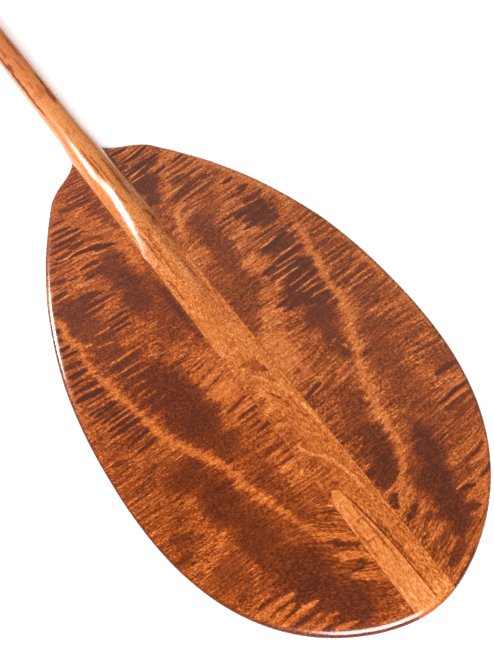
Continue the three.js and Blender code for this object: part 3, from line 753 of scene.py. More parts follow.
RIGHT_FIGURE = """
d .50 80 -250 120 300
d .50 40 -38 26 20
d .56 68 -64 16 14
d .52 70 -100 30 28
d .56 110 -135 14 40
s .70 8 66 -50 78 -68 90 -88 102 -110 114 -136 124 -168 132 -196
s .66 6 134 -200 140 -230 144 -262 146 -300 146 -335 143 -365
d .14 27 -80 17 14
d .15 25 -100 11 14
d .34 23 -117 9 7
d .44 26 -150 13 34
d .25 46 -160 18 28
d .24 45 -196 17 34
d .27 42 -232 13 26
d .34 24 -222 11 34
d .29 30 -252 18 24
d .25 24 -276 9 9
d .38 66 -150 10 16
d .56 76 -158 16 12
d .52 72 -196 18 18
d .62 62 -222 15 20
d .60 52 -256 11 8
d .60 44 -274 11 12
d .58 28 -290 18 12
d .62 28 -312 15 22
d .44 48 -306 12 22
d .40 50 -330 14 16
d .56 27 -334 13 14
d .16 98 -178 18 20
d .17 88 -220 20 16
d .14 84 -248 20 24
d .14 80 -272 22 22
d .16 74 -300 20 18
d .20 70 -328 12 24
d .52 124 -215 20 40
d .44 126 -262 22 30
d .40 124 -310 24 26
d .28 104 -344 20 26
d .32 94 -376 22 32
d .36 88 -410 20 24
d .40 122 -355 20 22
d .46 116 -386 16 18
d .33 132 -392 10 14
d .40 96 -440 22 20
d .42 26 -374 10 26
d .28 44 -378 15 28
d .17 36 -412 17 22
d .14 32 -434 16 15
d .44 30 -494 18 30
d .46 42 -466 12 14
d .15 72 -438 12 22
d .13 58 -462 18 22
d .14 54 -488 15 20
d .22 38 -510 12 8
d .38 82 -472 16 10
d .56 100 -464 14 10
d .66 92 -484 16 9
d .62 70 -500 16 7
s .66 6 118 -455 104 -474 88 -491 70 -505 50 -516
s .07 4.2 20 -22.5 29 -23.4 37 -24.4
s .34 2.4 18 -17 27 -18.6
s .32 1.4 18 -27.6 32 -28.4
s .26 1.9 18 -34.6 32 -34.6 42 -33 52 -31.4
s .11 4.2 22 -40.6 34 -40.6 45 -38.6 56 -36
s .28 2 18 -39 26 -40
s .28 5.6 18 -45 27 -46
s .34 1.5 24 -50 38 -48.6 50 -46.4
s .34 1.4 30 -44 46 -42.6
s .70 2 30 -37.4 44 -35.4
s .09 4.6 18 -58 30 -57 44 -54.4 60 -52
s .72 1.6 20 -61.2 32 -60 44 -58
s .11 6.4 20 -65.5 32 -63.2 45 -60 57 -57
s .74 1.6 20 -67.8 33 -68.4
s .13 4.2 36 -73.4 46 -72.6 57 -70.6
s .11 11 20 -73 30 -73 41 -73
s .13 8 18 -82 30 -82 43 -81
s .13 8 18 -88 26 -88.6 36 -87
s .64 3.4 44 -66.6 54 -65 62 -61
s .60 2.4 44 -77.6 54 -74.6
s .32 3.4 50 -78.4 64 -77.4 80 -76
s .30 3 48 -86.4 66 -85.2 88 -84
s .68 1.7 46 -82 64 -81 82 -80
s .68 2.2 44 -89.2 62 -88.4 86 -87.4
s .29 3.4 48 -93 56 -93 66 -91.6
s .28 2 70 -96.4 88 -95.8
s .66 1.8 66 -99.4 86 -98.2
s .31 6 44 -102.6 56 -100.8 70 -99.8
s .27 3 50 -106.6 66 -106.2 86 -104.8
s .24 2.2 70 -109 84 -108.8 96 -107.4
s .68 2.2 32 -108.6 45 -104.6 58 -103.2
s .25 4.4 37 -119.6 46 -115.4 58 -112.4 74 -111.4
s .30 1.6 78 -114.8 90 -114.6 100 -115
s .70 2 44 -110.8 60 -109.2 76 -108.8
s .66 2.4 36 -124.6 50 -119.8 64 -117.4 82 -116.6
s .34 3.4 62 -122 78 -122.6
s .28 2.2 60 -130 80 -129.6
s .34 8 58 -136 80 -136.6
s .19 4.4 90 -128.2 97 -127.6 104 -126.6
s .26 1.8 88 -137 100 -136.4
s .24 5 98 -143.4 110 -144
s .30 1.5 96 -151.4 115 -151.8
s .62 1.8 84 -133 100 -132.6
s .58 2 84 -140 98 -140
s .09 7 91 -157.2 100 -158 108 -158.6 115 -156.4
s .28 1.7 72 -159 84 -157.6 93 -157
s .60 2 72 -163 90 -162.4 106 -164
s .09 5.2 72 -171.4 86 -169.6 100 -168.6 112 -167.6
s .27 2 54 -171.4 66 -170.6 76 -171
s .64 1.8 56 -174.4 72 -174.2
s .12 7.4 78 -177.6 94 -177.6 110 -178.8
s .26 1.6 108 -180.6 124 -180
s .30 4 21 -126.8 27 -127.2
s .28 6.6 19 -133 31 -132.6
s .66 5 28 -142 32 -132 40 -126.6 50 -124.4
s .64 6 25 -158 29 -146 38 -139 52 -136
s .50 8 24 -166 27 -152
s .60 3 22 -114 32 -112
s .68 2.2 55 -187.6 68 -188 80 -187.6
s .08 6.6 74 -186.2 86 -184.6 98 -182.8 112 -184.6
s .12 9 90 -193 110 -192.6
s .62 1.6 58 -195.8 74 -196.8
s .22 2.6 74 -202 90 -201 106 -200.8
s .27 1.8 58 -209.8 68 -208.4 77 -207.6
s .24 4.4 96 -207.8 108 -208 118 -207.6
s .66 2.6 76 -212.6 92 -210
s .07 5.6 75 -216.4 86 -216 94 -214.4 103 -211.8
s .14 6.4 96 -220.8 108 -219.6 119 -216.6
s .16 5 88 -224 104 -223.6
s .20 2.2 76 -228.4 90 -226.8
s .64 2 72 -231 88 -229.8 102 -229.6
s .05 6.2 76 -235 88 -233.6 98 -233 108 -233.2
s .14 4.8 58 -236.8 66 -236.6 74 -237
s .18 1.5 58 -240.8 76 -240.8
s .18 1.6 80 -240.8 96 -241
s .62 1.3 76 -238 90 -238.6 100 -238
s .62 1.7 60 -243 76 -242.8 92 -242.6
s .05 6.4 74 -246.4 88 -246 101 -244.6
s .20 3.2 60 -246.2 76 -246.4
s .18 3.4 94 -249.4 110 -248.6
s .66 2.2 62 -250.6 76 -250 90 -249.6
s .06 7.4 74 -257 84 -255 94 -253.6 103 -253
s .14 3.4 66 -259.4 80 -258.6
s .56 1.6 70 -260.4 84 -260.2 96 -259
s .07 6.8 72 -264.4 84 -263.6 94 -262.6 104 -261.6
s .66 2 74 -268.4 88 -268.4 101 -267.4
s .15 5.4 50 -272.4 66 -271.4 84 -271.6 98 -271.2
s .58 1.7 78 -273.8 88 -273 97 -273.4
s .09 7.2 56 -279 70 -278 84 -277 98 -277
s .60 1.8 80 -281.8 90 -281.4 97 -281.8
s .08 7.2 70 -285.6 84 -286 98 -285.2
s .30 1.3 62 -284 70 -287.6 80 -289.4
s .14 6 78 -291 98 -290
s .18 4 88 -299 96 -297
s .60 3.4 73 -333 74 -338
s .36 1.4 64 -329 72 -326
s .12 8 66 -343 74 -341
s .68 9 118 -212 112 -232 109 -250 105 -266 102 -282
s .68 11 102 -278 101 -292 97 -306 92 -320 85 -333 79 -345 72 -357
s .68 12.5 76 -350 71 -362 66 -375 61 -388 58 -400 56 -411
s .68 9.5 57 -406 54 -418 51 -430 46 -440 40 -447
s .62 6.5 43 -444 35 -451 27 -458 19 -465
s .30 3.2 120 -209.4 130 -208 139 -206
s .36 3 120 -214 140 -214.4
s .34 2.6 126 -220 141 -219.4
s .34 3.2 120 -226.4 141 -225.6
s .30 6.4 118 -231.8 130 -233 143 -232
s .30 5.4 114 -243.8 131 -243.4
s .32 3 130 -239.4 145 -240
s .36 4 120 -251 142 -250
s .25 2.6 110 -257.4 128 -257.6 144 -256.6
s .28 3.4 109 -262.4 126 -262.6 142 -262
s .34 2.2 115 -268 144 -268
s .30 4 110 -272.4 126 -272
s .24 3.2 104 -277.8 116 -277.6 129 -277
s .21 6.4 104 -285.4 116 -286.4 128 -286.4 142 -284.6
s .30 1.9 109 -293 128 -293.4 144 -292.6
s .23 2.2 107 -298.8 124 -298.2 142 -297
s .34 2 112 -303 132 -302.6
s .26 3 110 -309 126 -309.4 146 -308
s .26 3.2 106 -314 116 -313 124 -311
s .28 3.6 107 -318.6 126 -319.4
s .34 3 124 -326 144 -326
s .32 4 112 -333 130 -334
s .34 3 118 -341 140 -342
s .62 1.6 122 -330 138 -330.6
s .58 1.6 118 -289.6 140 -289
s .58 1.6 110 -295.8 138 -295.4
s .60 1.6 112 -265.4 140 -265
s .60 2 108 -281.4 138 -280.8
s .26 1.4 16 -341.2 28 -341.2 38 -343.6
s .24 1.5 17 -346 27 -344.6 34 -343.4
s .68 1.5 26 -343 34 -343.6 38.6 -346.4 36 -350.6
s .20 4 18 -353.6 28 -350.6 36 -348.6
s .30 5 34 -356 52 -350
s .34 4 24 -331 32 -328
s .52 3 42 -341 58 -343
s .34 3.4 18 -361 28 -360
s .34 3.4 18 -369 27 -368
s .26 4 18 -377 28 -376
s .33 2.4 18 -385.6 30 -386
s .33 2.6 18 -394 32 -393
s .24 3.4 18 -398.4 34 -398
s .34 2.6 18 -406 34 -405.6
s .50 1.8 18 -402.4 32 -402
s .48 1.8 18 -410.4 30 -410
s .24 3 18 -415.6 34 -415
s .36 3.4 18 -420.6 32 -420
s .13 12 18 -430 30 -430 42 -430
s .14 10 18 -441 30 -441.6 40 -440
s .64 1.7 17.5 -449 28 -449 40 -447.4
s .17 8 18 -455.6 27 -454.6
s .20 5 18 -461.6 23 -460.6
s .60 3 20 -466 33 -459 42 -455
s .22 4 18 -474 27 -471 33 -467.6
s .58 3 20 -478.6 30 -475 40 -469
s .30 2.4 18 -480.8 24 -480
s .30 3.4 28 -484 38 -478
s .34 3 18 -489.6 27 -489.6
s .54 3 24 -494 36 -491
s .26 2.4 30 -500 40 -495
s .54 2.4 30 -507.6 40 -503.6
s .20 4.4 25 -515 34 -512.4 44 -508.6
s .34 3 20 -500 28 -498
s .60 3 24 -521 40 -517
s .14 16 72 -424 70 -440 66 -452
s .12 19 60 -452 62 -466 58 -478 52 -492 46 -504
s .16 6 72 -497 62 -494 54 -492
s .18 5 78 -483 68 -480 60 -478
s .30 7 46 -450 58 -448
s .30 2.6 116 -361.6 138 -362.6
s .34 2 118 -370 134 -372
s .26 3.4 118 -376.6 130 -377.4 141 -379
s .34 3 126 -386 141 -388
s .20 5 115 -399.6 126 -400.4 138 -402.4
s .62 2.4 118 -407 132 -411
s .55 2.4 100 -415 128 -416
s .12 2.6 100 -421 114 -420.8 126 -420 134 -419.6
s .62 4 112 -424.4 122 -424.4 131 -424.4
s .24 4 100 -428.8 116 -428 130 -427.6
s .26 9 102 -436 122 -434
s .22 2 112 -428 128 -428.6
s .55 3 78 -462.6 92 -460.6 110 -460
s .24 2.2 84 -466.4 98 -465.4 110 -463
s .64 3.4 88 -470.4 100 -469.6 107 -468
s .24 2.4 84 -481.6 94 -481 101 -478.6
s .62 2 66 -478 82 -476.8
s .34 4 72 -472 86 -473.6
a .07 28 -300 26 50
a .09 26 -175 16 60
a -.045 70 -440 70 90
s .16 3.2 20 -53.4 34 -52.4 46 -50.6
s .60 2 20 -31.4 34 -31 46 -29.4
s .18 3 62 -72 72 -71 80 -69.6
s .22 3 48 -96.4 64 -96 78 -94.6
s .20 3 34 -115.4 50 -109.4 66 -107.8 84 -106.6
s .22 3 48 -121.6 66 -119.4 88 -118
s .24 2.6 88 -111.6 98 -111.4
s .22 3 86 -147.6 104 -147.4
s .24 3 58 -165.6 78 -164.8 96 -166.2
"""

# In this table the light dabs at x -9 (y -140, -215) are painted light on the ridge's lit left flank. The darker dabs
# at x 13 and 10 (y -190, -240) are painted shade on its right flank. The narrow light dabs at x 3 (y -128, -184) are a
# painted highlight along the crest.
SPINE_FIGURE_AND_PAINTED_LIGHT = """
d .66 0 -330 60 330
d .80 0 500 60 600
d .72 0 176 26 36
d .74 -2 130 14 30
d .70 -2 88 11 9
d .84 0 40 16 34
s .40 2.0 -11 58 -11.2 84 -11 104 -11 140 -11.6 176 -11.8 230
s .42 3.4 -9.4 140 -9.0 154
s .50 2.6 6.4 64 6.6 78 7.4 92
s .56 2.4 9 70 8.8 120
s .56 2.4 -6 162 -5.2 182
s .60 1.8 -3 98 -3.4 114
s .62 2 2 84 2.4 104
s .50 2.4 -7.4 -6 -6.6 6 -6.2 17
s .58 2 -2 10 -1.6 26
s .58 1.6 4 8 4.4 24
s .60 2 1 128 0.6 156
s .56 2.2 7 156 7.4 200
s .55 2 -8 240 -7 320
s .60 2.6 4 280 5 380
s .52 2 -10 380 -9 520
s .58 2.4 8 430 7 560
s .56 2.2 -3 520 -2 640
s .60 2.6 10 600 9 760
s .54 2 -9 640 -8 800
d .84 0 -40 40 80
d .80 -9 -140 10 80
d .74 -9 -215 10 40
d .60 13 -190 8 62
d .62 10 -240 6 30
d .74 -12 -272 9 26
d .72 6 -272 9 24
d .80 3 -128 3.2 52
d .80 3 -184 4.6 34
d .56 0 -305 9 12
d .72 10 -318 5 28
d .56 -13 -338 12 34
d .54 -12 -384 13 34
d .50 -11 -410 13 26
d .62 6 -385 10 60
d .66 13 -340 4 40
d .72 -6 -330 6 14
d .61 8 -460 12 60
d .68 10 -505 10 26
d .80 0 -522 20 10
d .58 5 -418 9 26
s .56 2.4 -9 -128 -7 -150 -8 -176
s .56 2.0 -4 -132 -3 -152 -4 -170 -5 -190
s .58 2.2 -13 -186 -12 -214
s .60 3 -4 -126 1 -133 -3 -146
s .60 2.4 -7 -150 0 -158
s .55 3 9 -108 14 -120 10 -132
s .52 2.6 14 -140 16 -158
s .50 2 9 -176 10 -204
s .70 2 14 -170 15 -196 14 -222
s .48 4 -7 -297 1 -298 6 -302
s .44 5 -3 -304 5 -308 8 -313
s .56 3 4 -318 8 -326
s .78 2.4 -8 -308 0 -315 4 -324 9 -333 13 -348 15 -366 15 -384
s .74 2.6 -16 -374 -12 -378 -8 -389 0 -399 6 -409 9 -424 10 -446
s .46 2.4 -14 -392 -8 -402 -2 -410
s .46 2.2 -4 -330 2 -340 5 -352
s .58 2 6 -340 9 -352 10 -374
s .44 3 -17 -322 -11 -321.6
s .44 2.4 -17 -333 -8 -332.6
s .74 2.4 -17 -328 -9 -327.6
s .74 2.4 -17 -341 -8 -342
s .42 3 -17 -351 -7 -351.6
s .44 3 -17 -362 -8 -363
s .72 2 -17 -357 -9 -357
s .44 3 -16 -376 -6 -377
s .58 2.2 -17 -369 -7 -370
s .74 2.4 -17 -383 -9 -384
s .60 3 -17 -388 -9 -389
s .46 3 -16 -398 -8 -400
s .48 3 -16 -410 -9 -412
s .36 1.6 1.6 -455 3 -475 4.6 -500
s .34 1.8 -6 -427 -4.8 -434 -2.6 -450 -.2 -468 1.4 -488 2.2 -524
s .56 2.2 -4 -8 -3.4 -30 -3 -58
s .60 2 0 -20 .6 -44 1 -70
s .62 3 8 -30 9 -60 9 -84
s .60 2 -1 -74 -.6 -96
a -.05 10 -60 8 90
"""

STRIP_FIGURE = """
d .79 -10 -440 40 70
d .77 -8 -490 40 30
d .84 -8 -520 40 22
s .76 1.6 -12 -436 -10 -460 -9 -480
s .56 1.8 -6 -440 -4.4 -462 -3 -490
s .58 1.6 -15 -452 -14.6 -480
s .56 2 -12 -452 -5 -453
s .56 2 -16 -468 -6 -469
"""

def noise2(x, y, seed):
    """Smooth value noise from -1 to 1."""
    xi, yi = np.floor(x).astype(np.int64), np.floor(y).astype(np.int64)
    u, v = smooth(x - xi), smooth(y - yi)

    def corner(a, b):
        n = (a * 374761393 + b * 668265263 + seed * 974634777) & 0xFFFFFFFF
        n = ((n ^ (n >> 13)) * 1274126177) & 0xFFFFFFFF
        return ((n ^ (n >> 16)) & 0xFFFF) / 32767.5 - 1

    top = lerp(corner(xi, yi), corner(xi + 1, yi), u)
    low = lerp(corner(xi, yi + 1), corner(xi + 1, yi + 1), u)
    return lerp(top, low, v)


def paint(x, y, strokes, tone, loose=1.0):
    """Lays the strokes over a starting tone. The grain rags their ends along x."""
    tone = np.full(len(x), float(tone))
    rag = loose * (4.2 * noise2(x / 34, y / 2.7, 3) + 2.2 * noise2(x / 11, y / 1.45, 4) + 3.0 * noise2(x / 60, y / 9, 5))
    px = x + rag
    py = y + loose * (1.5 * noise2(x / 21, y / 8, 6) + 0.6 * noise2(x / 7, y / 3, 7))
    thin_y = y + loose * (0.7 * noise2(x / 17, y / 7, 8) + 0.25 * noise2(x / 5, y / 3, 9))
    thin_x = x + 0.45 * rag
    calm_x = x + 0.42 * rag
    for line in strokes.strip().splitlines():
        kind, *nums = line.split()
        v = [float(n) for n in nums]
        if kind == "a":                                    # lightens or darkens what is there
            t, cx, cy, rx, ry = v
            tone += t * (1 - smooth(np.hypot((x - cx) / rx, (y - cy) / ry) - 0.1))
            continue
        if kind == "d":
            t, cx, cy, rx, ry = v
            near = np.flatnonzero((np.abs(px - cx) < rx * 1.25) & (np.abs(py - cy) < ry * 1.25))
            r = np.hypot((px[near] - cx) / rx, (py[near] - cy) / ry)
            w = 1 - smooth((r - 0.4) / 0.8)
        else:
            t, width = v[:2]
            pts = np.array(v[2:]).reshape(-1, 2)
            h = width / 2 if width > 6 else width * 0.62
            lengthwise = np.ptp(pts[:, 1]) > np.ptp(pts[:, 0])
            qx, qy = (calm_x, py) if lengthwise else (thin_x, thin_y) if width < 9 else (px, py)
            near = np.flatnonzero((qx > pts[:, 0].min() - h * 1.5) & (qx < pts[:, 0].max() + h * 1.5)
                                  & (qy > pts[:, 1].min() - h * 1.5) & (qy < pts[:, 1].max() + h * 1.5))
            seg = np.diff(pts, axis=0)
            run = np.r_[0, np.cumsum(np.hypot(*seg.T))]
            best, along = np.full(len(near), 1e9), np.zeros(len(near))
            for i, (du, dv) in enumerate(seg):
                ll = du * du + dv * dv
                k = np.clip(((qx[near] - pts[i, 0]) * du + (qy[near] - pts[i, 1]) * dv) / ll, 0, 1)
                d = np.hypot(qx[near] - pts[i, 0] - k * du, qy[near] - pts[i, 1] - k * dv)
                better = d < best
                best[better] = d[better]
                along[better] = (run[i] + k[better] * math.sqrt(ll)) / run[-1]
            taper = np.maximum(np.clip(4 * along * (1 - along), 0, 1) ** (0.38 if width < 9 else 0.2), 0.3)
            w = 1 - smooth((best / (h * taper) - (0.05 if lengthwise else 0.42)) / (1.45 if lengthwise else 0.78))
            if width < 6:
                t = t + 0.42 * (t - tone[near])
        tone[near] = lerp(tone[near], t, w)
    return tone


def flow(x, y, strokes, side):
    """Distance down the blade, bent so that lines of equal value run along the strokes across it."""
    mid, slope, weight = [], [], []
    for line in strokes.strip().splitlines():
        kind, *nums = line.split()
        if kind == "s":
            pts = np.array([float(n) for n in nums[2:]]).reshape(-1, 2)
            for (a, b), (c, d) in zip(pts[:-1], pts[1:]):
                if abs(c - a) > 1.2 * abs(d - b):
                    mid.append(((a + c) / 2, (b + d) / 2))
                    slope.append((d - b) / (c - a))
                    weight.append(math.hypot(c - a, d - b))
    mid, slope, weight = np.array(mid), np.array(slope), np.array(weight)
    gx, gy = np.arange(STAVE - 3, 156, 3.0) * side, np.arange(-540, 12, 3.0)
    k = weight * np.exp(-((gx[:, None, None] - mid[:, 0]) ** 2 + (gy[None, :, None] - mid[:, 1]) ** 2) / 450)
    grid = (k * slope).sum(2) / (k.sum(2) + 0.6)
    rise = np.cumsum(grid, 0) * 3.0 * side
    i = np.clip((np.abs(x) - (STAVE - 3)) / 3, 0, len(gx) - 1.001)
    j = np.clip((y + 540) / 3, 0, len(gy) - 1.001)
    a, b = i.astype(int), j.astype(int)
    u, v = i - a, j - b
    return y - lerp(lerp(rise[a, b], rise[a + 1, b], u), lerp(rise[a, b + 1], rise[a + 1, b + 1], u), v)


def set_attribute(obj, name, values):
    att = obj.data.attributes.new(name, "FLOAT", "POINT")
    att.data.foreach_set("value", np.asarray(values, np.float32))


def coords(obj):
    co = np.empty(len(obj.data.vertices) * 3)
    obj.data.vertices.foreach_get("co", co)
    return co.reshape(-1, 3) / MM


for obj, strokes, start in ((wing_left, LEFT_FIGURE_AND_PAINTED_LIGHT, 0.48), (wing_right, RIGHT_FIGURE, 0.48), (spine, SPINE_FIGURE_AND_PAINTED_LIGHT, 0.82),
                            (strip, STRIP_FIGURE, 0.74)):
    c = coords(obj)
    stave = obj in (spine, strip)
    tone = paint(c[:, 0], c[:, 1] - NECK_Y, strokes, start, 0.25 if stave else 1.0)
    low = c[:, 1] < NECK_Y - 480                       # painted shade: the figure is darkened along the rim of the wings, and on the stave only near the tip
    rim = 1 - smooth((rim_distance(c[:, 0], c[:, 1]) - 0.4) / 3.2)
    tone -= np.where(low, 0.26 * rim, 0.0) if stave else 0.30 * rim
    set_attribute(obj, "figure_and_painted_light", tone)
    if not stave:
        set_attribute(obj, "flow", flow(c[:, 0], c[:, 1] - NECK_Y, strokes, -1 if obj is wing_left else 1))
    set_attribute(obj, "curl", np.clip(1.05 - np.abs(tone - 0.46) / 0.30, 0.16, 1.0))


# ============================================================ materials
def srgb(r, g, b):
    out = []
    for v in (r, g, b):
        v /= 255.0
        out.append(v / 12.92 if v <= 0.04045 else ((v + 0.055) / 1.055) ** 2.4)
    return out


class Graph:
    """Builds a material's nodes with plain calls."""

    def __init__(self, name):
        self.mat = bpy.data.materials.new(name)
        self.mat.use_nodes = True
        self.tree = self.mat.node_tree
        self.shader = self.tree.nodes["Principled BSDF"]
        place = self.tree.nodes.new("ShaderNodeTexCoord")
        self.mm = self.vec("MULTIPLY", place.outputs["Object"], (1000, 1000, 1000))
        parts = self.tree.nodes.new("ShaderNodeSeparateXYZ")
        self.link(self.mm, parts.inputs[0])
        self.x, self.z = parts.outputs[0], parts.outputs[2]
        self.y = self.math("SUBTRACT", parts.outputs[1], NECK_Y)

    def link(self, a, b):
        self.tree.links.new(a, b)

    def put(self, socket, value):
        if isinstance(value, bpy.types.NodeSocket):
            self.link(value, socket)
        else:
            socket.default_value = value

    def math(self, op, a, b=0.0, c=None, clamp=False):
        n = self.tree.nodes.new("ShaderNodeMath")
        n.operation = op
        n.use_clamp = clamp
        self.put(n.inputs[0], a)
        self.put(n.inputs[1], b)
        if c is not None:
            self.put(n.inputs[2], c)
        return n.outputs[0]

    def vec(self, op, a, b):
        n = self.tree.nodes.new("ShaderNodeVectorMath")
        n.operation = op
        self.put(n.inputs[0], a)
        self.put(n.inputs[1], b)
        return n.outputs[0]

    def xyz(self, x, y, z):
        n = self.tree.nodes.new("ShaderNodeCombineXYZ")
        for i, v in enumerate((x, y, z)):
            self.put(n.inputs[i], v)
        return n.outputs[0]

    def noise(self, x, y, z, sx, sy, sz, detail=1.0, rough=0.5, shift=0.0, warp=0.0):
        """Noise with a grain sx by sy by sz millimetres, about -1 to 1."""
        at = self.xyz(self.math("MULTIPLY", x, 1 / sx), self.math("MULTIPLY", y, 1 / sy), self.math("MULTIPLY_ADD", z, 1 / sz, shift))
        n = self.tree.nodes.new("ShaderNodeTexNoise")
        n.inputs["Scale"].default_value = 1.0
        n.inputs["Detail"].default_value = detail
        n.inputs["Roughness"].default_value = rough
        n.inputs["Distortion"].default_value = warp
        self.link(at, n.inputs["Vector"])
        return self.math("MULTIPLY_ADD", n.outputs[0], 3.4, -1.7)

    def step(self, value, lo, hi):
        n = self.tree.nodes.new("ShaderNodeMapRange")
        n.interpolation_type = "SMOOTHSTEP"
        self.put(n.inputs["Value"], value)
        n.inputs["From Min"].default_value, n.inputs["From Max"].default_value = lo, hi
        return n.outputs[0]

    def attribute(self, name):
        n = self.tree.nodes.new("ShaderNodeAttribute")
        n.attribute_name = name
        return n.outputs["Fac"]

    def ramp(self, value, stops):
        n = self.tree.nodes.new("ShaderNodeValToRGB")
        e = n.color_ramp.elements
        while len(e) < len(stops):
            e.new(0.5)
        for i, (p, c) in enumerate(stops):
            e[i].position = p
            e[i].color = (*c, 1)
        self.link(value, n.inputs[0])
        return n.outputs[0]

    def mix(self, fac, a, b, blend="MIX"):
        n = self.tree.nodes.new("ShaderNodeMix")
        n.data_type = "RGBA"
        n.blend_type = blend
        self.put(n.inputs[0], fac)
        self.put(n.inputs[6], a)
        self.put(n.inputs[7], b)
        return n.outputs[2]

    def bump(self, height, strength, distance):
        n = self.tree.nodes.new("ShaderNodeBump")
        n.inputs["Strength"].default_value = strength
        n.inputs["Distance"].default_value = distance
        self.link(height, n.inputs["Height"])
        return n.outputs[0]


GAIN, VEIL = 1.22, 0.012          # how the studio light shows a colour


def wood_colour(r, g, b, shift=(1, 1, 1)):
    return [min(0.96, max(0.002, (v - VEIL) / GAIN * k)) for v, k in zip(srgb(r, g, b), shift)]


RAMP = [(0.00, (84, 44, 34)), (0.12, (98, 50, 34)), (0.24, (120, 59, 34)), (0.36, (140, 68, 35)), (0.48, (163, 80, 38)),
        (0.60, (186, 97, 46)), (0.72, (206, 116, 57)), (0.84, (224, 137, 74)), (1.00, (243, 168, 108))]


def wood(name, tone=None, curl=1.0, grain=1.0, hairs=1.0, pores=1.0, shift=(1, 1, 1), across=False, seam=False, coat=1.0,
         seed=0.0, bent=False, stave=False):
    g = Graph(name)
    x, y, z = g.x, g.y, g.z
    if across:
        x, y = y, x
    along = y
    if bent:
        y = g.attribute("flow")
    y = g.math("MULTIPLY_ADD", z, 0.6, y)
    drift = g.noise(x, y, z, 55, 40, 30, 1, shift=seed + 4.7)
    q = g.math("MULTIPLY_ADD", drift, 2.2, y)
    base = g.attribute("figure_and_painted_light") if tone is None else g.math("MULTIPLY_ADD", drift, 0.03, tone)
    amp = g.math("MULTIPLY", g.attribute("curl"), curl) if tone is None else curl
    wide = g.noise(x, q, z, 34, 3.5, 14, 1.5, 0.55, seed + 1.3, 0.25)
    fine = g.noise(x, q, z, 17, 1.8, 7, 1.5, 0.6, seed + 8.1, 0.2)
    curls = g.math("MULTIPLY", g.math("MULTIPLY_ADD", wide, 0.20, g.math("MULTIPLY", fine, 0.26)), amp)
    fleck = g.noise(x, y, z, *((0.95, 2.3, 1.2) if stave else (2.1, 0.95, 1.3)), 0.6, 0.5, seed + 2.9)
    mottle = g.noise(x, y, z, *((2.0, 5.5, 2.4) if stave else (3.4, 2.2, 2.4)), 0.5, 0.5, seed + 7.7)
    hair = g.noise(x, along, z, 0.55, 11, 0.8, 1, 0.5, seed + 6.4)
    pore = g.step(g.noise(x, along, z, 0.75 if stave else 0.45, 4.2, 0.8, 0.5, 0.5, seed + 3.3), 0.55, 0.98)
    down = g.math("MULTIPLY", along, -1.0)
    wingy = g.math("SUBTRACT", g.step(down, 215, 285), g.step(down, 418, 440))    # here the stave is curly like the wing beside it
    if stave:                                              # smooth up the shaft, open pores on the ridge
        rough = g.step(down, 60, 150)
        grain = g.math("MULTIPLY_ADD", rough, 0.55, grain)
        pores = g.math("MULTIPLY_ADD", g.math("SUBTRACT", rough, g.step(down, 200, 270)), 1.5, pores)
        near = g.math("MULTIPLY", wingy, g.step(g.math("MULTIPLY", g.x, -1.0), -3, 9))
        side_fleck = g.noise(x, y, z, 2.1, 0.95, 1.3, 0.6, 0.5, seed + 12.1)
        fleck = g.math("MULTIPLY_ADD", g.math("SUBTRACT", side_fleck, fleck), near, fleck)
        t = g.math("ADD", base, g.math("MULTIPLY", curls, g.math("MULTIPLY_ADD", near, 1.1, 1.0)))
    else:
        t = g.math("ADD", base, curls)
    if bent:                                               # the dark calm bands are smoother
        grain = g.math("MULTIPLY_ADD", amp, 0.5 * grain, 0.58 * grain)
    t = g.math("ADD", t, g.math("MULTIPLY", g.math("MULTIPLY_ADD", fleck, 0.28, g.math("MULTIPLY", mottle, 0.11)), grain))
    t = g.math("MULTIPLY_ADD", hair, 0.06 * hairs, t)
    t = g.math("SUBTRACT", t, g.math("MULTIPLY", g.math("MULTIPLY", pore, 0.15), pores))
    colour = g.ramp(t, [(p, wood_colour(*c, shift)) for p, c in RAMP])
    if seam:
        gap = g.math("ABSOLUTE", g.math("SUBTRACT", g.math("ABSOLUTE", g.x), STAVE))
        line = g.math("SUBTRACT", 1.0, g.step(gap, 0.12, 0.42))
        hidden = g.math("MULTIPLY", wingy, g.math("LESS_THAN", g.x, 0.0))
        dark = g.math("MULTIPLY_ADD", hidden, -0.48, 0.55)
        colour = g.mix(g.math("MULTIPLY", line, dark), colour, (*wood_colour(70, 34, 24), 1))
    g.link(colour, g.shader.inputs["Base Color"])
    g.link(g.math("MULTIPLY_ADD", fleck, 0.08, 0.46), g.shader.inputs["Roughness"])
    g.shader.inputs["Specular IOR Level"].default_value = 0.08
    g.shader.inputs["Coat Weight"].default_value = coat
    g.shader.inputs["Coat Roughness"].default_value = 0.17
    g.shader.inputs["Coat IOR"].default_value = 1.5
    relief = g.math("MULTIPLY_ADD", pore, -1.0, g.math("MULTIPLY", fleck, 0.25))
    g.link(g.bump(relief, 0.25, 0.00006), g.shader.inputs["Normal"])
    peel = g.noise(x, along, z, 4.0, 9.0, 4.0, 2, 0.5, seed + 5.2)
    g.link(g.bump(g.math("MULTIPLY_ADD", peel, 0.8, g.math("MULTIPLY", relief, 0.5)), 0.26, 0.00005), g.shader.inputs["Coat Normal"])
    return g.mat


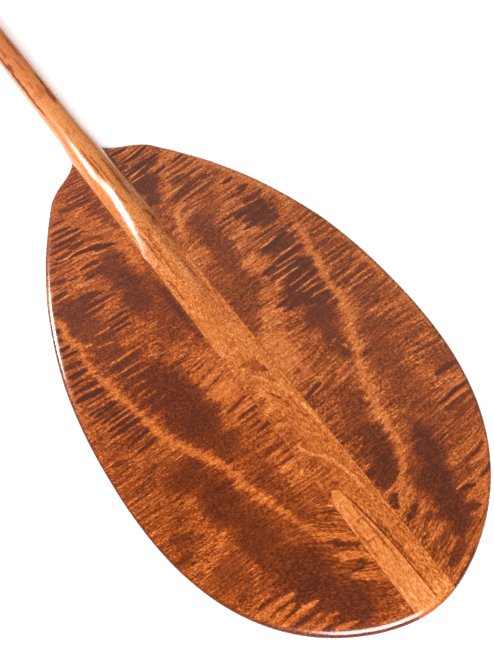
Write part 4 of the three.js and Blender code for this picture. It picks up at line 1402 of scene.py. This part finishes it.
# painted reflection: the right wing's copy of the wood is tinted greener and bluer for the pale sheen it reflects on
# that side, and the left wing's copy is redder, with less of it
blade_wood_left_less_painted_sheen = wood("curly_blade_wood_left_less_painted_sheen", shift=(1.0, 0.95, 0.90), seam=True, bent=True)
blade_wood_right_painted_sheen = wood("curly_blade_wood_right_painted_sheen", shift=(1.0, 1.05, 1.24), seam=True, seed=11, bent=True)
shaft_wood = wood("straight_shaft_wood", curl=0.5, grain=0.36, hairs=1.3, pores=0.7, shift=(1.0, 1.02, 0.98), seam=True, seed=23,
                  stave=True)
pale_wood = wood("pale_tip_wood", curl=0.3, grain=0.10, pores=0.8, seam=True, seed=31, stave=True)
grip_wood = wood("turned_grip_wood", tone=0.44, curl=0.55, grain=0.34, hairs=2.2, pores=1.1, across=True, seed=41)
wedge_wood = wood("dark_wedge_wood", tone=0.10, curl=0.2, grain=0.3, hairs=1.5, pores=1.0, seed=53)
dowel_wood = wood("plain_dowel_wood", tone=0.95, curl=0.15, grain=0.3, pores=0.5, coat=0.0, across=True, seed=67)

for obj, mat in ((wing_left, blade_wood_left_less_painted_sheen), (wing_right, blade_wood_right_painted_sheen), (spine, shaft_wood), (strip, pale_wood),
                 (grip, grip_wood), (wedges[0], wedge_wood), (wedges[1], wedge_wood)):
    obj.data.materials.clear()
    obj.data.materials.append(mat)
for name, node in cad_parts.items():
    if name.startswith("dowel"):
        node.data.materials.clear()
        node.data.materials.append(dowel_wood)

# ============================================================ floor, light, camera
def floor():
    mesh = bpy.data.meshes.new("floor")
    s = 6.0
    mesh.from_pydata([(-s, -s, 0), (s, -s, 0), (s, s, 0), (-s, s, 0)], [], [(0, 1, 2, 3)])
    obj = bpy.data.objects.new("floor", mesh)
    bpy.context.scene.collection.objects.link(obj)
    obj.location = (0, 0, -0.0004)
    m = bpy.data.materials.new("floor_paper")
    m.use_nodes = True
    b = m.node_tree.nodes["Principled BSDF"]
    b.inputs["Base Color"].default_value = (0.93, 0.93, 0.93, 1)
    b.inputs["Roughness"].default_value = 0.9
    b.inputs["Specular IOR Level"].default_value = 0.1
    b.inputs["Emission Color"].default_value = (1, 1, 1, 1)
    b.inputs["Emission Strength"].default_value = 0.35
    mesh.materials.append(m)
    return obj


floor()

world = bpy.data.worlds.new("studio")
bpy.context.scene.world = world
world.use_nodes = True
sky = world.node_tree
bg = sky.nodes["Background"]
bg.inputs["Color"].default_value = (1, 1, 1, 1)
aim = sky.nodes.new("ShaderNodeTexCoord")
dot = sky.nodes.new("ShaderNodeVectorMath")
dot.operation = "DOT_PRODUCT"
dot.inputs[1].default_value = (0.8, 0.6, 0.0)                # a pale wall on that side, a dark ceiling overhead
sky.links.new(aim.outputs["Generated"], dot.inputs[0])
glow = sky.nodes.new("ShaderNodeMapRange")
glow.interpolation_type = "SMOOTHSTEP"
glow.inputs["From Min"].default_value, glow.inputs["From Max"].default_value = 0.02, 0.55
glow.inputs["To Min"].default_value, glow.inputs["To Max"].default_value = 0.06, 0.50
sky.links.new(dot.outputs["Value"], glow.inputs["Value"])
height = sky.nodes.new("ShaderNodeSeparateXYZ")                # and only high up
sky.links.new(aim.outputs["Generated"], height.inputs[0])
high = sky.nodes.new("ShaderNodeMapRange")
high.interpolation_type = "SMOOTHSTEP"
high.inputs["From Min"].default_value, high.inputs["From Max"].default_value = 0.15, 0.6
high.inputs["To Min"].default_value, high.inputs["To Max"].default_value = 0.12, 1.0
sky.links.new(height.outputs[2], high.inputs["Value"])
both = sky.nodes.new("ShaderNodeMath")
both.operation = "MULTIPLY"
sky.links.new(glow.outputs[0], both.inputs[0])
sky.links.new(high.outputs[0], both.inputs[1])
low = sky.nodes.new("ShaderNodeMapRange")                      # the pale room at floor height
low.interpolation_type = "SMOOTHSTEP"
low.inputs["From Min"].default_value, low.inputs["From Max"].default_value = 0.04, 0.24
low.inputs["To Min"].default_value, low.inputs["To Max"].default_value = 0.22, 0.0
sky.links.new(height.outputs[2], low.inputs["Value"])
total = sky.nodes.new("ShaderNodeMath")
sky.links.new(both.outputs[0], total.inputs[0])
sky.links.new(low.outputs[0], total.inputs[1])
sky.links.new(total.outputs[0], bg.inputs["Strength"])

TARGET = Vector((0, (NECK_Y - 250) * MM, 0.01))


def area(name, direction, distance, w, h, radiance, spin=0.0, target=TARGET):
    d = Vector(direction).normalized()
    data = bpy.data.lights.new(name, "AREA")
    data.shape = "RECTANGLE"
    data.size, data.size_y = w, h
    data.energy = radiance * math.pi * w * h
    obj = bpy.data.objects.new(name, data)
    bpy.context.scene.collection.objects.link(obj)
    obj.location = target + d * distance
    obj.rotation_euler = (Matrix.Rotation(spin, 4, d) @ d.to_track_quat("Z", "Y").to_matrix().to_4x4()).to_euler()
    return obj


RIDGE_SPOT = Vector((-0.009, (NECK_Y - 64) * MM, 0.018))
area("window_left", (-0.54, 0.62, 0.57), 1.9, 0.60, 0.27, 78, spin=math.radians(-39), target=RIDGE_SPOT)
area("window_low", (-0.22, -0.74, 0.68), 1.9, 0.85, 0.72, 23)

cam_data = bpy.data.cameras.new("camera")
cam_data.sensor_width = 36.0
cam_data.sensor_fit = "AUTO"
cam_data.lens = 591.21 / 659.0 * 36.0
cam = bpy.data.objects.new("camera", cam_data)
bpy.context.scene.collection.objects.link(cam)
right = Vector((0.808623, -0.580884, -0.093286))
down_ = Vector((-0.564401, -0.721165, -0.401712))
ahead = Vector((0.166073, 0.377485, -0.911002))
m = Matrix.Identity(4)
for i in range(3):
    m[i][0], m[i][1], m[i][2] = right[i], -down_[i], -ahead[i]
m.translation = Vector((-69.92, -467.7 + NECK_Y, 482.856)) * MM
cam.matrix_world = m
cam_data.clip_start = 0.01
bpy.context.scene.camera = cam
bpy.context.scene.view_settings.view_transform = "Standard"
bpy.context.scene.view_settings.look = "None"
